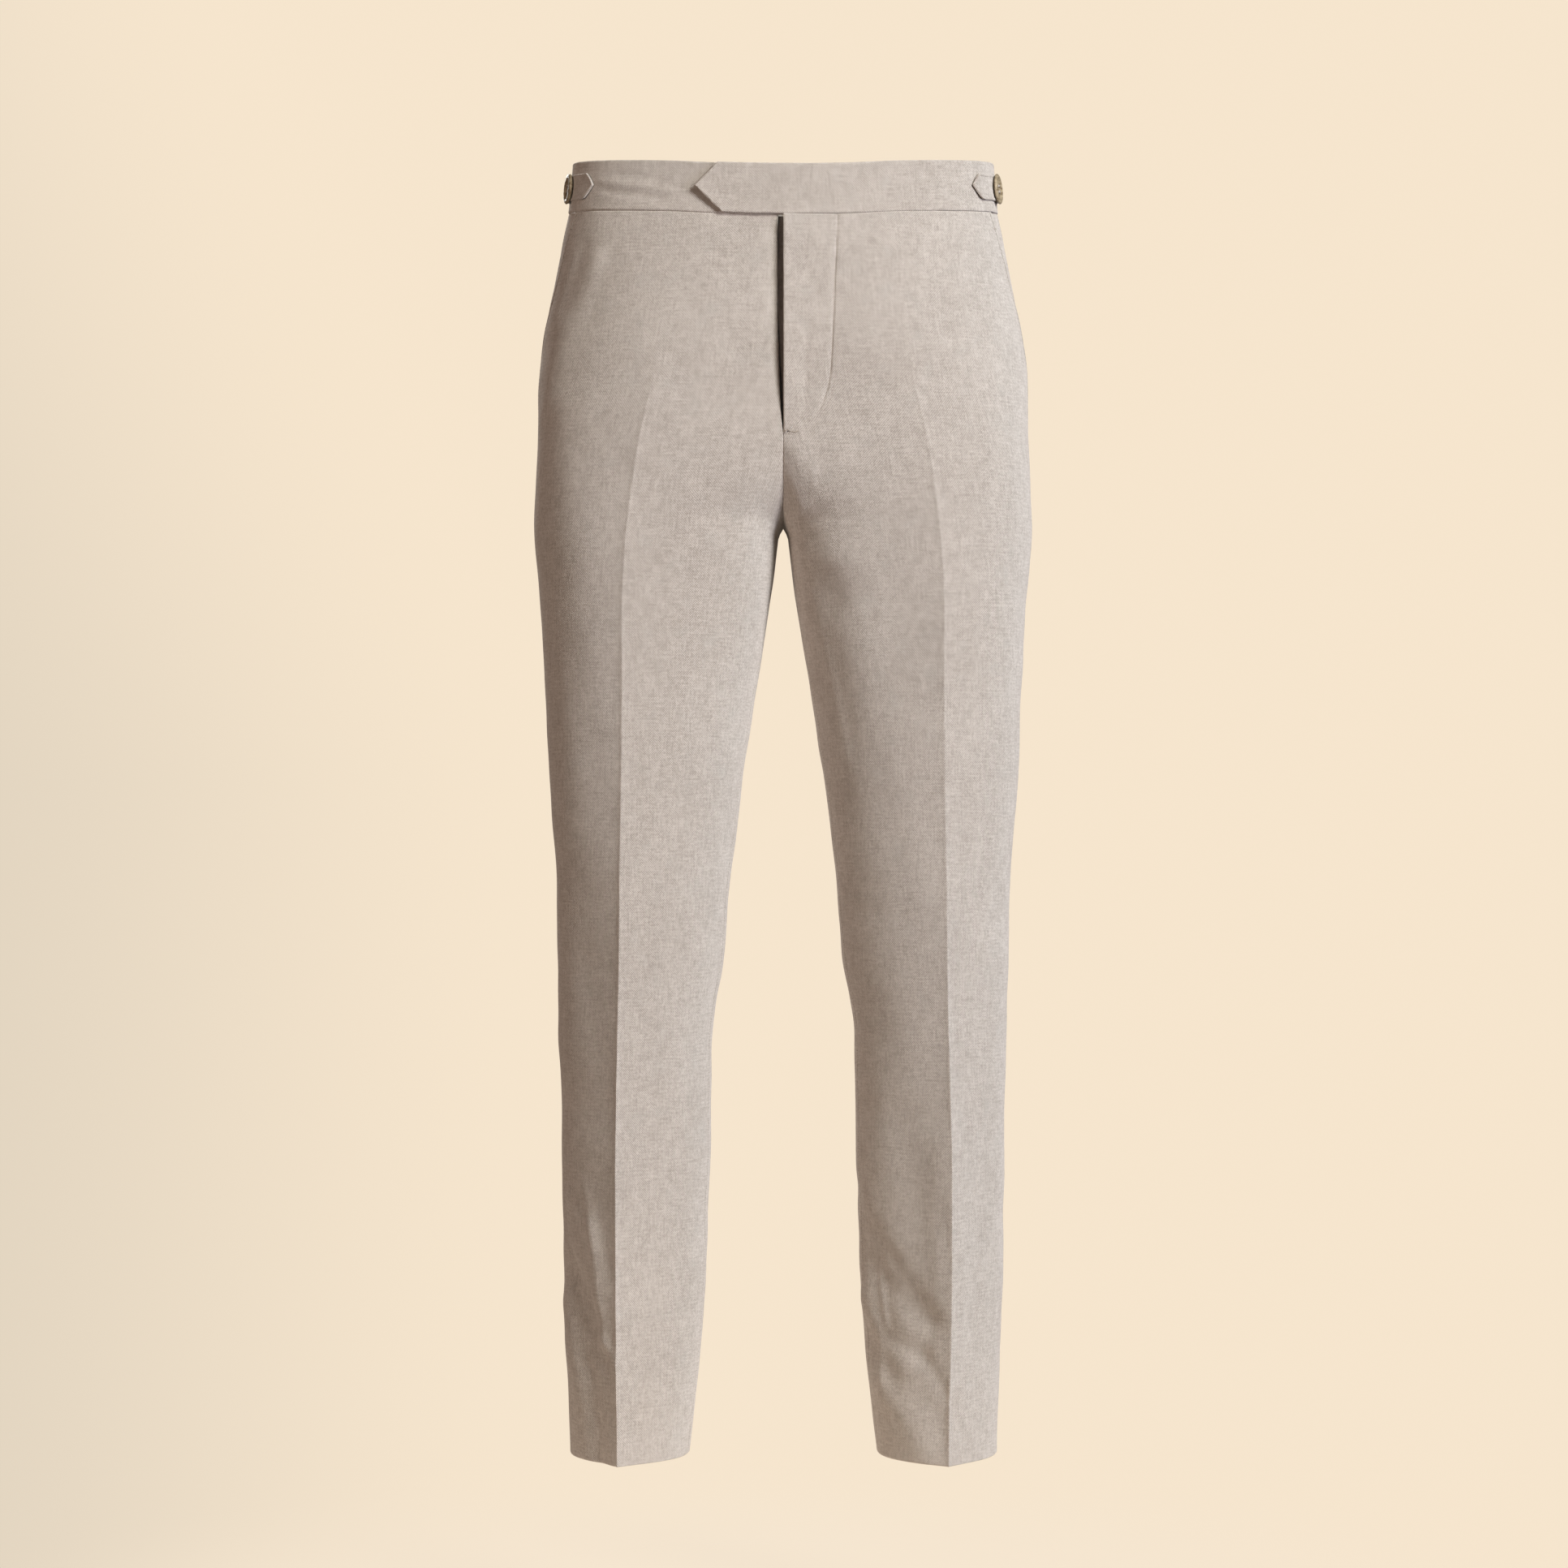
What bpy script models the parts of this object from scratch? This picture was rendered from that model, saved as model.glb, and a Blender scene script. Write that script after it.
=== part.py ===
"""Suit trousers, filled out as worn and held at the waist.

Metres, +Z up.  The front faces -Y and the wearer's left is at +X.  The origin is at the centre of the
waist, at half the height of the waistband.  Each cloth piece is a closed wall of even thickness that
follows one surface: surface(height, turn), read from the short tables below.  Heights are measured up
from the hem.  A turn runs round one leg: 0 is its innermost line, or the centre front above the crotch,
1 the front crease, 2 the side seam, 3 the back crease, and 4 the innermost line or the centre back.
"""

import math

import bmesh
import bpy
import numpy as np

# Heights above the hem
WAIST_HEIGHT = 1.025  # the origin
CROTCH_HEIGHT = 0.750
SIDE_SEAM_TOP = 1.006  # waist seam at the side
FLY_BOTTOM = 0.818
POCKET_BOTTOM = 0.8357
WAISTBAND_HEIGHT = 0.0405
FRONT_DIP = 0.0141  # the waist is this much lower at the centre front than at the side
DIP_POWER = 1.2  # how much of that dip is near the centre
BACK_RISE = 0.0094  # and it is this much higher at the centre back

# Cloth
WALL = 0.0016
WAISTBAND_WALL = 0.0026
TAB_WALL = 0.0018
SEAM = 0.0003  # between two pieces
UNDER = 0.0009  # between a curved piece and the one that it lies behind
WAISTBAND_PROUD = 0.0006

# Crotch seam: a quarter of an ellipse to the front and one to the back of its lowest point
CROTCH_Y = -0.012
CROTCH_FRONT = (0.093, 0.075)  # depth, height
CROTCH_BACK = (0.138, 0.110)
FORK_FRONT = (0.110, 2.2)  # the height over which the centre seam's valley opens out flat, and how fast
FORK_BACK = (0.150, 2.0)
FORK_EASE = 0.045  # the height above the crotch over which the two legs' own curves merge
FORK_REACH = ((0.47, 0.545), (0.37, 0.37))  # how squarely those curves turn, at the front and at the back
TRIM_HALVINGS = 22  # in the search for the point where such a curve meets the centre seam's depth
ARCH_HEIGHT = 0.008  # the gap between the legs rounds over in its top stretch

INSEAM_TURN = 0.13  # the inseam lies this far forward of the innermost line
INSEAM_EASE = 0.150  # height below the crotch over which it gets there
HANDLE = 0.37  # of the other quarter curves, as a share of the chord

# Half widths from the centre plane, and the depth at which they lie
SIDE_COLUMNS = ("height", "outer", "outer_y", "inner", "inner_y")
SIDE_ROWS = (
    (0.000, 0.1735, 0.006, 0.0765, 0.003),
    (0.050, 0.1750, 0.005, 0.0705, 0.005),
    (0.111, 0.1775, 0.004, 0.0650, 0.007),
    (0.190, 0.1790, 0.002, 0.0610, 0.008),
    (0.290, 0.1805, 0.000, 0.0585, 0.008),
    (0.349, 0.1818, 0.000, 0.0572, 0.008),
    (0.369, 0.1824, 0.000, 0.0540, 0.008),
    (0.389, 0.1828, 0.000, 0.0500, 0.008),
    (0.428, 0.1836, 0.000, 0.0462, 0.008),
    (0.468, 0.1842, 0.000, 0.0426, 0.008),
    (0.547, 0.1904, -0.002, 0.0327, 0.007),
    (0.626, 0.1930, -0.002, 0.0210, 0.004),
    (0.705, 0.1987, 0.000, 0.0080, -0.004),
    (0.745, 0.2015, 0.000, 0.0042, -0.010),
    (0.785, 0.2013, 0.000, 0.0000, CROTCH_Y),
    (0.824, 0.1990, 0.001, 0.0000, CROTCH_Y),
    (0.864, 0.1985, 0.002, 0.0000, CROTCH_Y),
    (0.903, 0.1947, 0.002, 0.0000, CROTCH_Y),
    (0.943, 0.1870, 0.001, 0.0000, CROTCH_Y),
    (0.983, 0.1790, 0.000, 0.0000, CROTCH_Y),
    (1.008, 0.1738, 0.000, 0.0000, CROTCH_Y),
    (1.070, 0.1695, 0.000, 0.0000, CROTCH_Y),
)

# Where the pressed creases lie, and the angles in degrees at which the cloth comes to and leaves them:
# the front's are turned from +X towards +Y, the back's from -X, away from and then towards the front.
# The last two columns say how squarely the quarter curve between the innermost line and the front crease
# turns its corner: the reach of its handle at each end, as a share of its chord.
CREASE_COLUMNS = (
    "height", "front_x", "front_y", "front_in", "front_out",
    "back_x", "back_y", "back_in", "back_out", "inner_reach", "crease_reach",
)
CREASE_ROWS = (
    (0.000, 0.1317, -0.0725, -33, 52, 0.1180, 0.0690, 33, 52, 0.42, 0.38),
    (0.111, 0.1330, -0.0725, -33, 52, 0.1095, 0.0700, 33, 51, 0.40, 0.38),
    (0.290, 0.1328, -0.0745, -32, 50, 0.1055, 0.0755, 32, 50, 0.37, 0.37),
    (0.389, 0.1305, -0.0770, -26, 45, 0.1030, 0.0790, 30, 48, 0.37, 0.37),
    (0.468, 0.1295, -0.0805, -20, 39, 0.0995, 0.0825, 28, 44, 0.37, 0.38),
    (0.547, 0.1281, -0.0850, -16, 32, 0.0960, 0.0880, 27, 39, 0.38, 0.40),
    (0.626, 0.1272, -0.0915, -14, 26, 0.0900, 0.0975, 24, 31, 0.41, 0.44),
    (0.705, 0.1263, -0.1000, -12, 22, 0.0840, 0.1075, 19, 20, 0.47, 0.51),
    (0.745, 0.1232, -0.1045, -9, 19, 0.0820, 0.1130, 16, 13, 0.50, 0.56),
    (0.785, 0.1180, -0.1085, -5, 17, 0.0825, 0.1175, 14, 4, 0.24, 0.58),
    (0.824, 0.1112, -0.1105, 0, 16, 0.0840, 0.1208, 13, -4, 0.27, 0.46),
    (0.864, 0.1016, -0.1100, 5, 16, 0.0860, 0.1210, 13, -9, 0.34, 0.39),
    (0.903, 0.0960, -0.1070, 10, 16, 0.0885, 0.1160, 15, -14, 0.37, 0.37),
    (0.943, 0.0925, -0.0990, 14, 16, 0.0895, 0.1060, 17, -17, 0.37, 0.37),
    (0.983, 0.0900, -0.0895, 17, 17, 0.0900, 0.0945, 19, -19, 0.37, 0.37),
    (1.008, 0.0880, -0.0840, 18, 18, 0.0900, 0.0881, 20, -20, 0.37, 0.37),
    (1.070, 0.0855, -0.0815, 18, 18, 0.0885, 0.0835, 19, -19, 0.37, 0.37),
)

# The centre front and the centre back above the crotch seam's curve
CENTRE_COLUMNS = ("height", "front", "back")
CENTRE_ROWS = (
    (0.825, -0.1050, 0.1240),
    (0.860, -0.1065, 0.1260),
    (0.903, -0.1070, 0.1245),
    (0.943, -0.1045, 0.1170),
    (0.983, -0.1000, 0.1080),
    (1.008, -0.0975, 0.1030),
    (1.070, -0.0950, 0.0970),
)

# Soft folds, each a trough or a ridge along the line from a to b; side 1 is the wearer's left
FOLD_COLUMNS = ("side", "height_a", "turn_a", "height_b", "turn_b", "half_width", "rise")
FOLD_ROWS = (
    (-1, 0.150, 1.55, 0.086, 1.12, 0.010, -0.0030),
    (-1, 0.122, 1.75, 0.060, 1.35, 0.012, 0.0020),
    (1, 0.157, 0.28, 0.113, 0.85, 0.012, -0.0030),
    (1, 0.125, 0.15, 0.075, 0.60, 0.012, 0.0025),
    (1, 0.092, 0.20, 0.042, 0.95, 0.012, -0.0030),
    (1, 0.806, 0.10, 0.724, 0.36, 0.012, 0.0020),
    (1, 0.785, 0.32, 0.738, 0.42, 0.012, -0.0020),
    (-1, 0.790, 0.16, 0.730, 0.30, 0.013, -0.0015),
    (1, 0.800, 3.85, 0.715, 3.35, 0.014, -0.0030),
    (-1, 0.795, 3.82, 0.725, 3.30, 0.014, -0.0028),
    (1, 0.770, 3.60, 0.690, 3.10, 0.016, 0.0020),
    (-1, 0.765, 3.62, 0.700, 3.15, 0.016, 0.0018),
    (1, 0.400, 2.55, 0.388, 3.40, 0.013, -0.0026),
    (-1, 0.410, 2.65, 0.392, 3.45, 0.013, -0.0024),
    (-1, 0.118, 2.50, 0.085, 3.10, 0.012, -0.0022),
    (1, 0.140, 2.60, 0.096, 3.20, 0.012, -0.0022),
)

# Fly
FLY_WIDTH = 0.042
FLY_LIFT = 0.0030  # how far the lapping edge stands out
FLY_GAP = 0.0046  # how far the edge under it is drawn back at the top
UNDERLAP_REACH = (-0.022, 0.038)
UNDERLAP_BOTTOM = 0.838
UNDERLAP_STEPS = (7, 6)  # up and across

# Pocket
POCKET_SET = 0.030  # the mouth's top, forward of the side seam
FACING_TUCK = 0.014  # how far the side piece runs on behind the mouth
FACING_RECESS = 0.0025  # and how far it lies under the front there
FACING_BOTTOM = 0.8398

# Waistband: distances round the waist from the centre front, against how far the face stands out
LEFT_LIFT = ((-0.0692, 0.0050), (0.0, 0.0036), (0.060, WAISTBAND_PROUD))
RIGHT_LIFT = ((-0.038, -0.0016), (0.006, WAISTBAND_PROUD), (0.030, WAISTBAND_PROUD))
POINT_LENGTH = (0.0215, 0.0174)  # the pointed end, from its tip back to its lower and upper corners
POINT_SHARE = 0.49  # height of the tip in the waistband
POINT_START = 0.040  # where the waistband's cross lines start to lean into the point, past the centre

# Side adjusters: distances round the waist, back from the side
TAB_TIP = -0.0545
TAB_BACK = 0.050
TAB_HEIGHT = 0.0210
TAB_RISE = -0.0007  # of its middle line over the waistband's
TAB_POINT = (0.010, 0.0078)
TAB_TIP_SHARE = 0.55
TAB_TIP_LIFT = 0.0014
TAB_TIP_REACH = 0.020
BUTTON_BACK = -0.016
BUTTON_DROP = 0.0015
BUTTON_RADIUS = 0.0122
BUTTON_THICKNESS = 0.0030
BUTTON_DISH = (0.0078, 0.0011)  # radius and depth
BUTTON_EDGE = 0.0008
HOLE_RADIUS = 0.0010
HOLE_SPACING = 0.0048

# How finely the walls are cut
LEG_STEPS = 28
HIP_STEPS = 14
INNER_STEPS = 6
OUTER_STEPS = 7
WAISTBAND_STEPS = 30
LAP_STEPS = 3  # of the waistband's end past the centre
TAB_STEPS = 16
BUTTON_SIDES = 28
HOLE_SIDES = 8
FINE = 40  # samples of a quarter curve, for its length

# Looks
CLOTH_COLOUR = (0.560, 0.510, 0.455, 1.0)
CLOTH_ROUGHNESS = 0.9
BUTTON_COLOUR = (0.330, 0.270, 0.190, 1.0)
BUTTON_ROUGHNESS = 0.35


def smoothstep(x):
    x = np.clip(x, 0.0, 1.0)
    return x * x * (3.0 - 2.0 * x)


def read(columns, rows, name, height):
    """One column of a table at any height, on a smooth curve through its rows."""
    table = np.array(rows, dtype=float)
    x = table[:, 0]
    y = table[:, columns.index(name)]
    slope = np.gradient(y, x)
    height = np.clip(height, x[0], x[-1])
    row = np.clip(np.searchsorted(x, height) - 1, 0, len(x) - 2)
    span = x[row + 1] - x[row]
    t = (height - x[row]) / span
    bend_0 = slope[row] * span
    bend_1 = slope[row + 1] * span
    rise = y[row + 1] - y[row]
    return y[row] + t * (bend_0 + t * (3 * rise - 2 * bend_0 - bend_1 + t * (bend_0 + bend_1 - 2 * rise)))


def centre_seam(height, quarter, name, sign):
    """Depth of the centre seam: the crotch curve, then the table's line above it."""
    depth, rise = quarter
    share = np.clip((height - CROTCH_HEIGHT) / rise, 0.0, 1.0)
    curve = CROTCH_Y + sign * depth * np.sqrt(1.0 - (1.0 - share) ** 2)
    line = read(CENTRE_COLUMNS, CENTRE_ROWS, name, height)
    return np.where(share < 1.0, curve, line)


def fork_angle(height, fork):
    """How far the cloth beside the centre seam turns in, in radians: fully at the crotch, less above."""
    reach, power = fork
    share = np.clip((height - CROTCH_HEIGHT) / reach, 0.0, 1.0)
    return math.pi / 2 * (1.0 - share) ** power


def corners(height):
    """The five points that a section runs through, each with the direction it arrives in and leaves in.

    Last come the reaches of the handles of the quarter curve that the first two points bound.
    """
    side = {name: read(SIDE_COLUMNS, SIDE_ROWS, name, height) for name in SIDE_COLUMNS[1:]}
    crease = {name: read(CREASE_COLUMNS, CREASE_ROWS, name, height) for name in CREASE_COLUMNS[1:]}
    below = height <= CROTCH_HEIGHT
    inner = side["inner"] * np.sqrt(np.clip((CROTCH_HEIGHT - height) / ARCH_HEIGHT, 0.0, 1.0))
    front_y = np.where(below, side["inner_y"], centre_seam(height, CROTCH_FRONT, "front", -1))
    back_y = np.where(below, side["inner_y"], centre_seam(height, CROTCH_BACK, "back", 1))
    front_fork = fork_angle(height, FORK_FRONT)
    back_fork = fork_angle(height, FORK_BACK)

    def heading(angle, x_sign, y_sign):
        return np.stack((x_sign * np.cos(angle), y_sign * np.sin(angle)), axis=-1)

    def point(x, y):
        return np.stack((x, y), axis=-1)

    up = heading(np.full_like(height, math.pi / 2), 1, 1)
    return (
        (point(inner, front_y), None, heading(front_fork, 1, -1)),
        (
            point(crease["front_x"], crease["front_y"]),
            heading(np.radians(crease["front_in"]), 1, 1),
            heading(np.radians(crease["front_out"]), 1, 1),
        ),
        (point(side["outer"], side["outer_y"]), up, up),
        (
            point(crease["back_x"], crease["back_y"]),
            heading(np.radians(crease["back_in"]), -1, 1),
            heading(np.radians(crease["back_out"]), -1, -1),
        ),
        (point(inner, back_y), heading(back_fork, -1, -1), None),
        (crease["inner_reach"], crease["crease_reach"]),
    )


def curve(controls, t):
    """Points of a cubic curve."""
    start, first, second, end = controls
    return (1 - t) ** 3 * start + 3 * (1 - t) ** 2 * t * first + 3 * (1 - t) * t**2 * second + t**3 * end


def trimmed(controls, depth, t):
    """The part of a leg's curve that lies beyond a depth, drawn in to the centre plane where it starts."""
    sign = np.sign(controls[3][..., 1:] - controls[0][..., 1:])
    low, high = np.zeros_like(t), np.ones_like(t)
    for _ in range(TRIM_HALVINGS):
        middle = (low + high) / 2
        short = sign * (curve(controls, middle)[..., 1:] - depth) < 0
        low, high = np.where(short, middle, low), np.where(short, high, middle)
    points = curve(controls, low + (1 - low) * t)
    points[..., :1] -= curve(controls, low)[..., :1] * (1 - t)
    return points


def surface(height, turn):
    """Points on the outer face of the cloth, on the wearer's left."""
    height, turn = np.broadcast_arrays(np.asarray(height, float), np.asarray(turn, float))
    turn = np.where(height <= CROTCH_HEIGHT, np.mod(turn, 4.0), np.clip(turn, 0.0, 4.0))
    stops = corners(height)
    quarter = np.clip(np.floor(turn), 0, 3)
    t = (turn - quarter)[..., None]
    plan = np.zeros(height.shape + (2,))
    parted = 1 - smoothstep((height - CROTCH_HEIGHT) / FORK_EASE)[..., None]
    lowest = np.stack((np.zeros_like(height), np.full_like(height, CROTCH_Y)), axis=-1)
    for index in range(4):
        start, _, leaving = stops[index]
        end, arriving, _ = stops[index + 1]
        chord = np.linalg.norm(end - start, axis=-1, keepdims=True)
        near, far = (share[..., None] for share in stops[5]) if index == 0 else (HANDLE, HANDLE)
        points = curve((start, start + near * chord * leaving, end - far * chord * arriving, end), t)
        if index in (0, 3):
            crease, heading = (end, -arriving) if index == 0 else (start, leaving)
            reach = FORK_REACH[index == 3]
            down = np.stack((np.zeros_like(height), np.sign(crease[..., 1] - CROTCH_Y)), axis=-1)
            length = np.linalg.norm(crease - lowest, axis=-1, keepdims=True)
            leg = (lowest, lowest + reach[0] * length * down, crease + reach[1] * length * heading, crease)
            centre = (start if index == 0 else end)[..., 1:]
            apart = trimmed(leg, centre, t if index == 0 else 1 - t)
            points += np.where(height[..., None] > CROTCH_HEIGHT, parted, 0.0) * (apart - points)
        plan = np.where((quarter == index)[..., None], points, plan)
    return np.concatenate((plan, (height - WAIST_HEIGHT)[..., None]), axis=-1)


def outward(height, turn):
    """Unit normals of the surface, on the wearer's left; at a crease they point halfway between its sides."""
    height, turn = np.broadcast_arrays(np.asarray(height, float), np.asarray(turn, float))
    aside = 0.01
    step = 0.0004
    across = surface(height, turn + aside) - surface(height, turn - aside)
    on_leg = height <= CROTCH_HEIGHT
    top = height + np.where(on_leg, 0.0, step)
    foot = np.where(on_leg, height - 2 * step, np.maximum(height - step, CROTCH_HEIGHT + step / 4))
    upward = surface(top, turn) - surface(foot, turn)
    normal = np.cross(across, upward)
    return normal / np.linalg.norm(normal, axis=-1, keepdims=True)


def waist_rise(turn):
    """How far the waist at this turn is above the waist at the side."""
    swing = np.cos(np.pi * np.clip(turn, 0.0, 4.0) / 4)
    return np.where(swing > 0, -FRONT_DIP * np.abs(swing) ** DIP_POWER, BACK_RISE * np.abs(swing))


def inseam_turn(height):
    return INSEAM_TURN * smoothstep((CROTCH_HEIGHT - height) / INSEAM_EASE)


def centre_heights(quarter, name, sign, centre_turn):
    """Heights at even distances along the centre seam, from the crotch to the waist seam."""
    top = SIDE_SEAM_TOP + float(waist_rise(centre_turn))
    height = CROTCH_HEIGHT + (top - CROTCH_HEIGHT) * np.linspace(0, 1, 400) ** 2
    depth = centre_seam(height, quarter, name, sign)
    length = np.concatenate(([0.0], np.cumsum(np.hypot(np.diff(height), np.diff(depth)))))
    return length / length[-1], height


CENTRE_FRONT = centre_heights(CROTCH_FRONT, "front", -1, 0.0)
CENTRE_BACK = centre_heights(CROTCH_BACK, "back", 1, 4.0)


def level_height(level, turn):
    """Height of a cross line: level -1 is the hem, 0 the crotch and 1 the waist seam.

    Above the crotch the line falls towards the centre seam, so that it meets the crotch curve squarely.
    """
    turn = np.asarray(turn, float)
    if level <= 0:
        return np.full_like(turn, CROTCH_HEIGHT * (1 + level))
    side = CROTCH_HEIGHT + (SIDE_SEAM_TOP - CROTCH_HEIGHT) * level
    height = side + waist_rise(turn) * level**2
    front = np.interp(level, *CENTRE_FRONT) - side - float(waist_rise(0.0)) * level**2
    back = np.interp(level, *CENTRE_BACK) - side - float(waist_rise(4.0)) * level**2
    near_front = np.clip(1 - turn, 0.0, 1.0) ** 2
    near_back = np.clip(turn - 3, 0.0, 1.0) ** 2
    return height + front * near_front + back * near_back


def fold_rise(points, side):
    """How far the soft folds push these points out or in."""
    total = np.zeros(points.shape[:-1])
    for row in FOLD_ROWS:
        fold = dict(zip(FOLD_COLUMNS, row))
        if fold["side"] != side:
            continue
        start = surface(fold["height_a"], fold["turn_a"])
        line = surface(fold["height_b"], fold["turn_b"]) - start
        share = np.clip((points - start) @ line / (line @ line), 0.0, 1.0)
        away = np.linalg.norm(points - start - share[..., None] * line, axis=-1)
        total += fold["rise"] * np.exp(-((away / fold["half_width"]) ** 2))
    return total


def lay(height, turn, side, lift, wall):
    """Outer and inner points of a wall that follows the surface, on the side asked for."""
    face = surface(height, turn)
    normal = outward(height, turn)
    outer = face + normal * (lift + fold_rise(face, side))[..., None]
    inner = outer - normal * wall
    mirror = np.array((side, 1, 1))
    return outer * mirror, inner * mirror


def keep_clear(points, side):
    """Keeps a piece on its own side of the centre plane, half a seam away from it."""
    kept = points.copy()
    kept[..., 0] = side * np.maximum(side * points[..., 0], SEAM / 2)
    return kept


def distances(height, turn):
    points = surface(height, turn)
    return np.concatenate(([0.0], np.cumsum(np.linalg.norm(np.diff(points, axis=0), axis=-1))))


def spread(level, first, last, start_gap, end_gap, steps):
    """Turns at even distances along a cross line between two turns, less a gap at each end."""
    turns = np.linspace(first, last, FINE)
    length = distances(level_height(level, turns), turns)
    return np.interp(np.linspace(start_gap, length[-1] - end_gap, steps + 1), length, turns)


def from_centre(level, turns):
    """Distance of each turn from the centre front, along a cross line."""
    fine = np.linspace(0.0, 1.0, FINE)
    length = distances(level_height(level, fine), fine)
    return np.interp(turns, fine, length)


def shell(name, outer, inner, side, material):
    """A closed wall between two grids of points, whose rows run up and columns run away from the front."""
    rows, columns = outer.shape[:2]
    mesh = bmesh.new()
    face, back = (
        [[mesh.verts.new(grid[i, j]) for j in range(columns)] for i in range(rows)]
        for grid in (outer, inner)
    )

    def quad(*corner):
        mesh.faces.new(corner if side > 0 else corner[::-1])

    for i in range(rows - 1):
        for j in range(columns - 1):
            quad(face[i][j], face[i][j + 1], face[i + 1][j + 1], face[i + 1][j])
            quad(back[i][j], back[i + 1][j], back[i + 1][j + 1], back[i][j + 1])
        quad(face[i][0], face[i + 1][0], back[i + 1][0], back[i][0])
        quad(face[i][-1], back[i][-1], back[i + 1][-1], face[i + 1][-1])
    for j in range(columns - 1):
        quad(face[0][j], back[0][j], back[0][j + 1], face[0][j + 1])
        quad(face[-1][j], face[-1][j + 1], back[-1][j + 1], back[-1][j])
    return finish(name, mesh, material)


def finish(name, mesh, material):
    data = bpy.data.meshes.new(name)
    mesh.to_mesh(data)
    mesh.free()
    data.materials.append(material)
    piece = bpy.data.objects.new(name, data)
    bpy.context.scene.collection.objects.link(piece)
    data.shade_smooth()
    data.set_sharp_from_angle(angle=math.radians(40))
    return piece


def levels():
    """The cross lines of a panel, from the hem to half a seam under the waistband."""
    leg = np.linspace(-1, 0, LEG_STEPS + 1)
    hip = np.linspace(0, 1, HIP_STEPS + 1)[1:]
    hip[-1] = 1 - SEAM / 2 / (SIDE_SEAM_TOP - CROTCH_HEIGHT)
    return np.concatenate((leg, hip))


def fly_edge_gap(height, side):
    """The edge on the wearer's right is drawn back beside the lapping edge."""
    if side > 0:
        return SEAM / 2
    return SEAM / 2 + FLY_GAP * float(smoothstep((height - FLY_BOTTOM) / 0.060))


def pocket_gap(side_height):
    """Distance from the side seam to the pocket mouth, half a seam below the pocket."""
    share = (side_height - POCKET_BOTTOM) / (SIDE_SEAM_TOP - POCKET_BOTTOM)
    return SEAM / 2 + POCKET_SET * max(share, 0.0)


def front(side, material):
    name = "front_left" if side > 0 else "front_right"
    outer, inner = [], []
    for level in levels():
        first = float(inseam_turn(level_height(level, 0.0))) if level <= 0 else 0.0
        centre_height = float(level_height(level, 0.0))
        start_gap = fly_edge_gap(centre_height, side) if level > 0 else SEAM / 2
        end_gap = pocket_gap(float(level_height(level, 2.0)))
        turns = np.concatenate((
            spread(level, first, 1.0, start_gap, 0.0, INNER_STEPS),
            spread(level, 1.0, 2.0, 0.0, end_gap, OUTER_STEPS)[1:],
        ))
        lift = np.zeros_like(turns)
        if side > 0 and centre_height > FLY_BOTTOM:
            lift = FLY_LIFT * np.clip(1 - from_centre(level, turns) / FLY_WIDTH, 0.0, 1.0)
        face, back = lay(level_height(level, turns), turns, side, lift, WALL)
        outer.append(keep_clear(face, side))
        inner.append(keep_clear(back, side))
    return shell(name, np.array(outer), np.array(inner), side, material)


def back(side, material):
    name = "back_left" if side > 0 else "back_right"
    outer, inner = [], []
    for level in levels():
        last = 4.0 + (float(inseam_turn(level_height(level, 4.0))) if level <= 0 else 0.0)
        turns = np.concatenate((
            spread(level, 2.0, 3.0, SEAM / 2, 0.0, OUTER_STEPS),
            spread(level, 3.0, last, 0.0, SEAM / 2, OUTER_STEPS)[1:],
        ))
        face, lining = lay(level_height(level, turns), turns, side, np.zeros_like(turns), WALL)
        outer.append(keep_clear(face, side))
        inner.append(keep_clear(lining, side))
    return shell(name, np.array(outer), np.array(inner), side, material)


def pocket_facing(side, material):
    """The side piece: flush at the side seam, and behind the front from the pocket mouth on."""
    name = "pocket_facing_left" if side > 0 else "pocket_facing_right"
    lowest = (FACING_BOTTOM - CROTCH_HEIGHT) / (SIDE_SEAM_TOP - CROTCH_HEIGHT)
    outer, inner = [], []
    for level in [lowest] + [level for level in levels() if level > lowest + 0.25 / HIP_STEPS]:
        mouth = pocket_gap(float(level_height(level, 2.0)))
        fine = np.linspace(1.0, 2.0, FINE)
        length = distances(level_height(level, fine), fine)
        hidden = (mouth + FACING_TUCK, mouth + FACING_TUCK / 2)
        gaps = np.array((*hidden, mouth, (mouth + SEAM / 2) / 2, SEAM / 2))
        turns = np.interp(length[-1] - gaps, length, fine)
        lift = -FACING_RECESS * np.clip((gaps - SEAM / 2) / (mouth - SEAM / 2), 0.0, 1.0)
        face, lining = lay(level_height(level, turns), turns, side, lift, WALL)
        outer.append(face)
        inner.append(lining)
    return shell(name, np.array(outer), np.array(inner), side, material)


def underlap(material):
    """The strip behind the fly, which crosses the centre."""
    steps_up, steps_across = UNDERLAP_STEPS
    across = np.linspace(*UNDERLAP_REACH, steps_across + 1)
    top = SIDE_SEAM_TOP + float(waist_rise(0.0)) - UNDER
    outer, inner = [], []
    for height in np.linspace(UNDERLAP_BOTTOM, top, steps_up + 1):
        fine = np.linspace(0.0, 1.0, FINE)
        turns = np.interp(np.abs(across), distances(np.full_like(fine, height), fine), fine)
        face = surface(height, turns)
        normal = outward(height, turns)
        mirror = np.stack((np.sign(across), np.ones_like(across), np.ones_like(across)), axis=-1)
        face = (face - normal * (WALL + UNDER)) * mirror
        outer.append(face)
        inner.append(face - normal * mirror * WALL)
    return shell("fly_underlap", np.array(outer), np.array(inner), 1, material)


def ring():
    """Distances round the waist at half the waistband's height, against the turn."""
    turns = np.linspace(0.0, 4.0, 4 * FINE + 1)
    height = SIDE_SEAM_TOP + WAISTBAND_HEIGHT / 2 + waist_rise(turns)
    return distances(height, turns), turns


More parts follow.
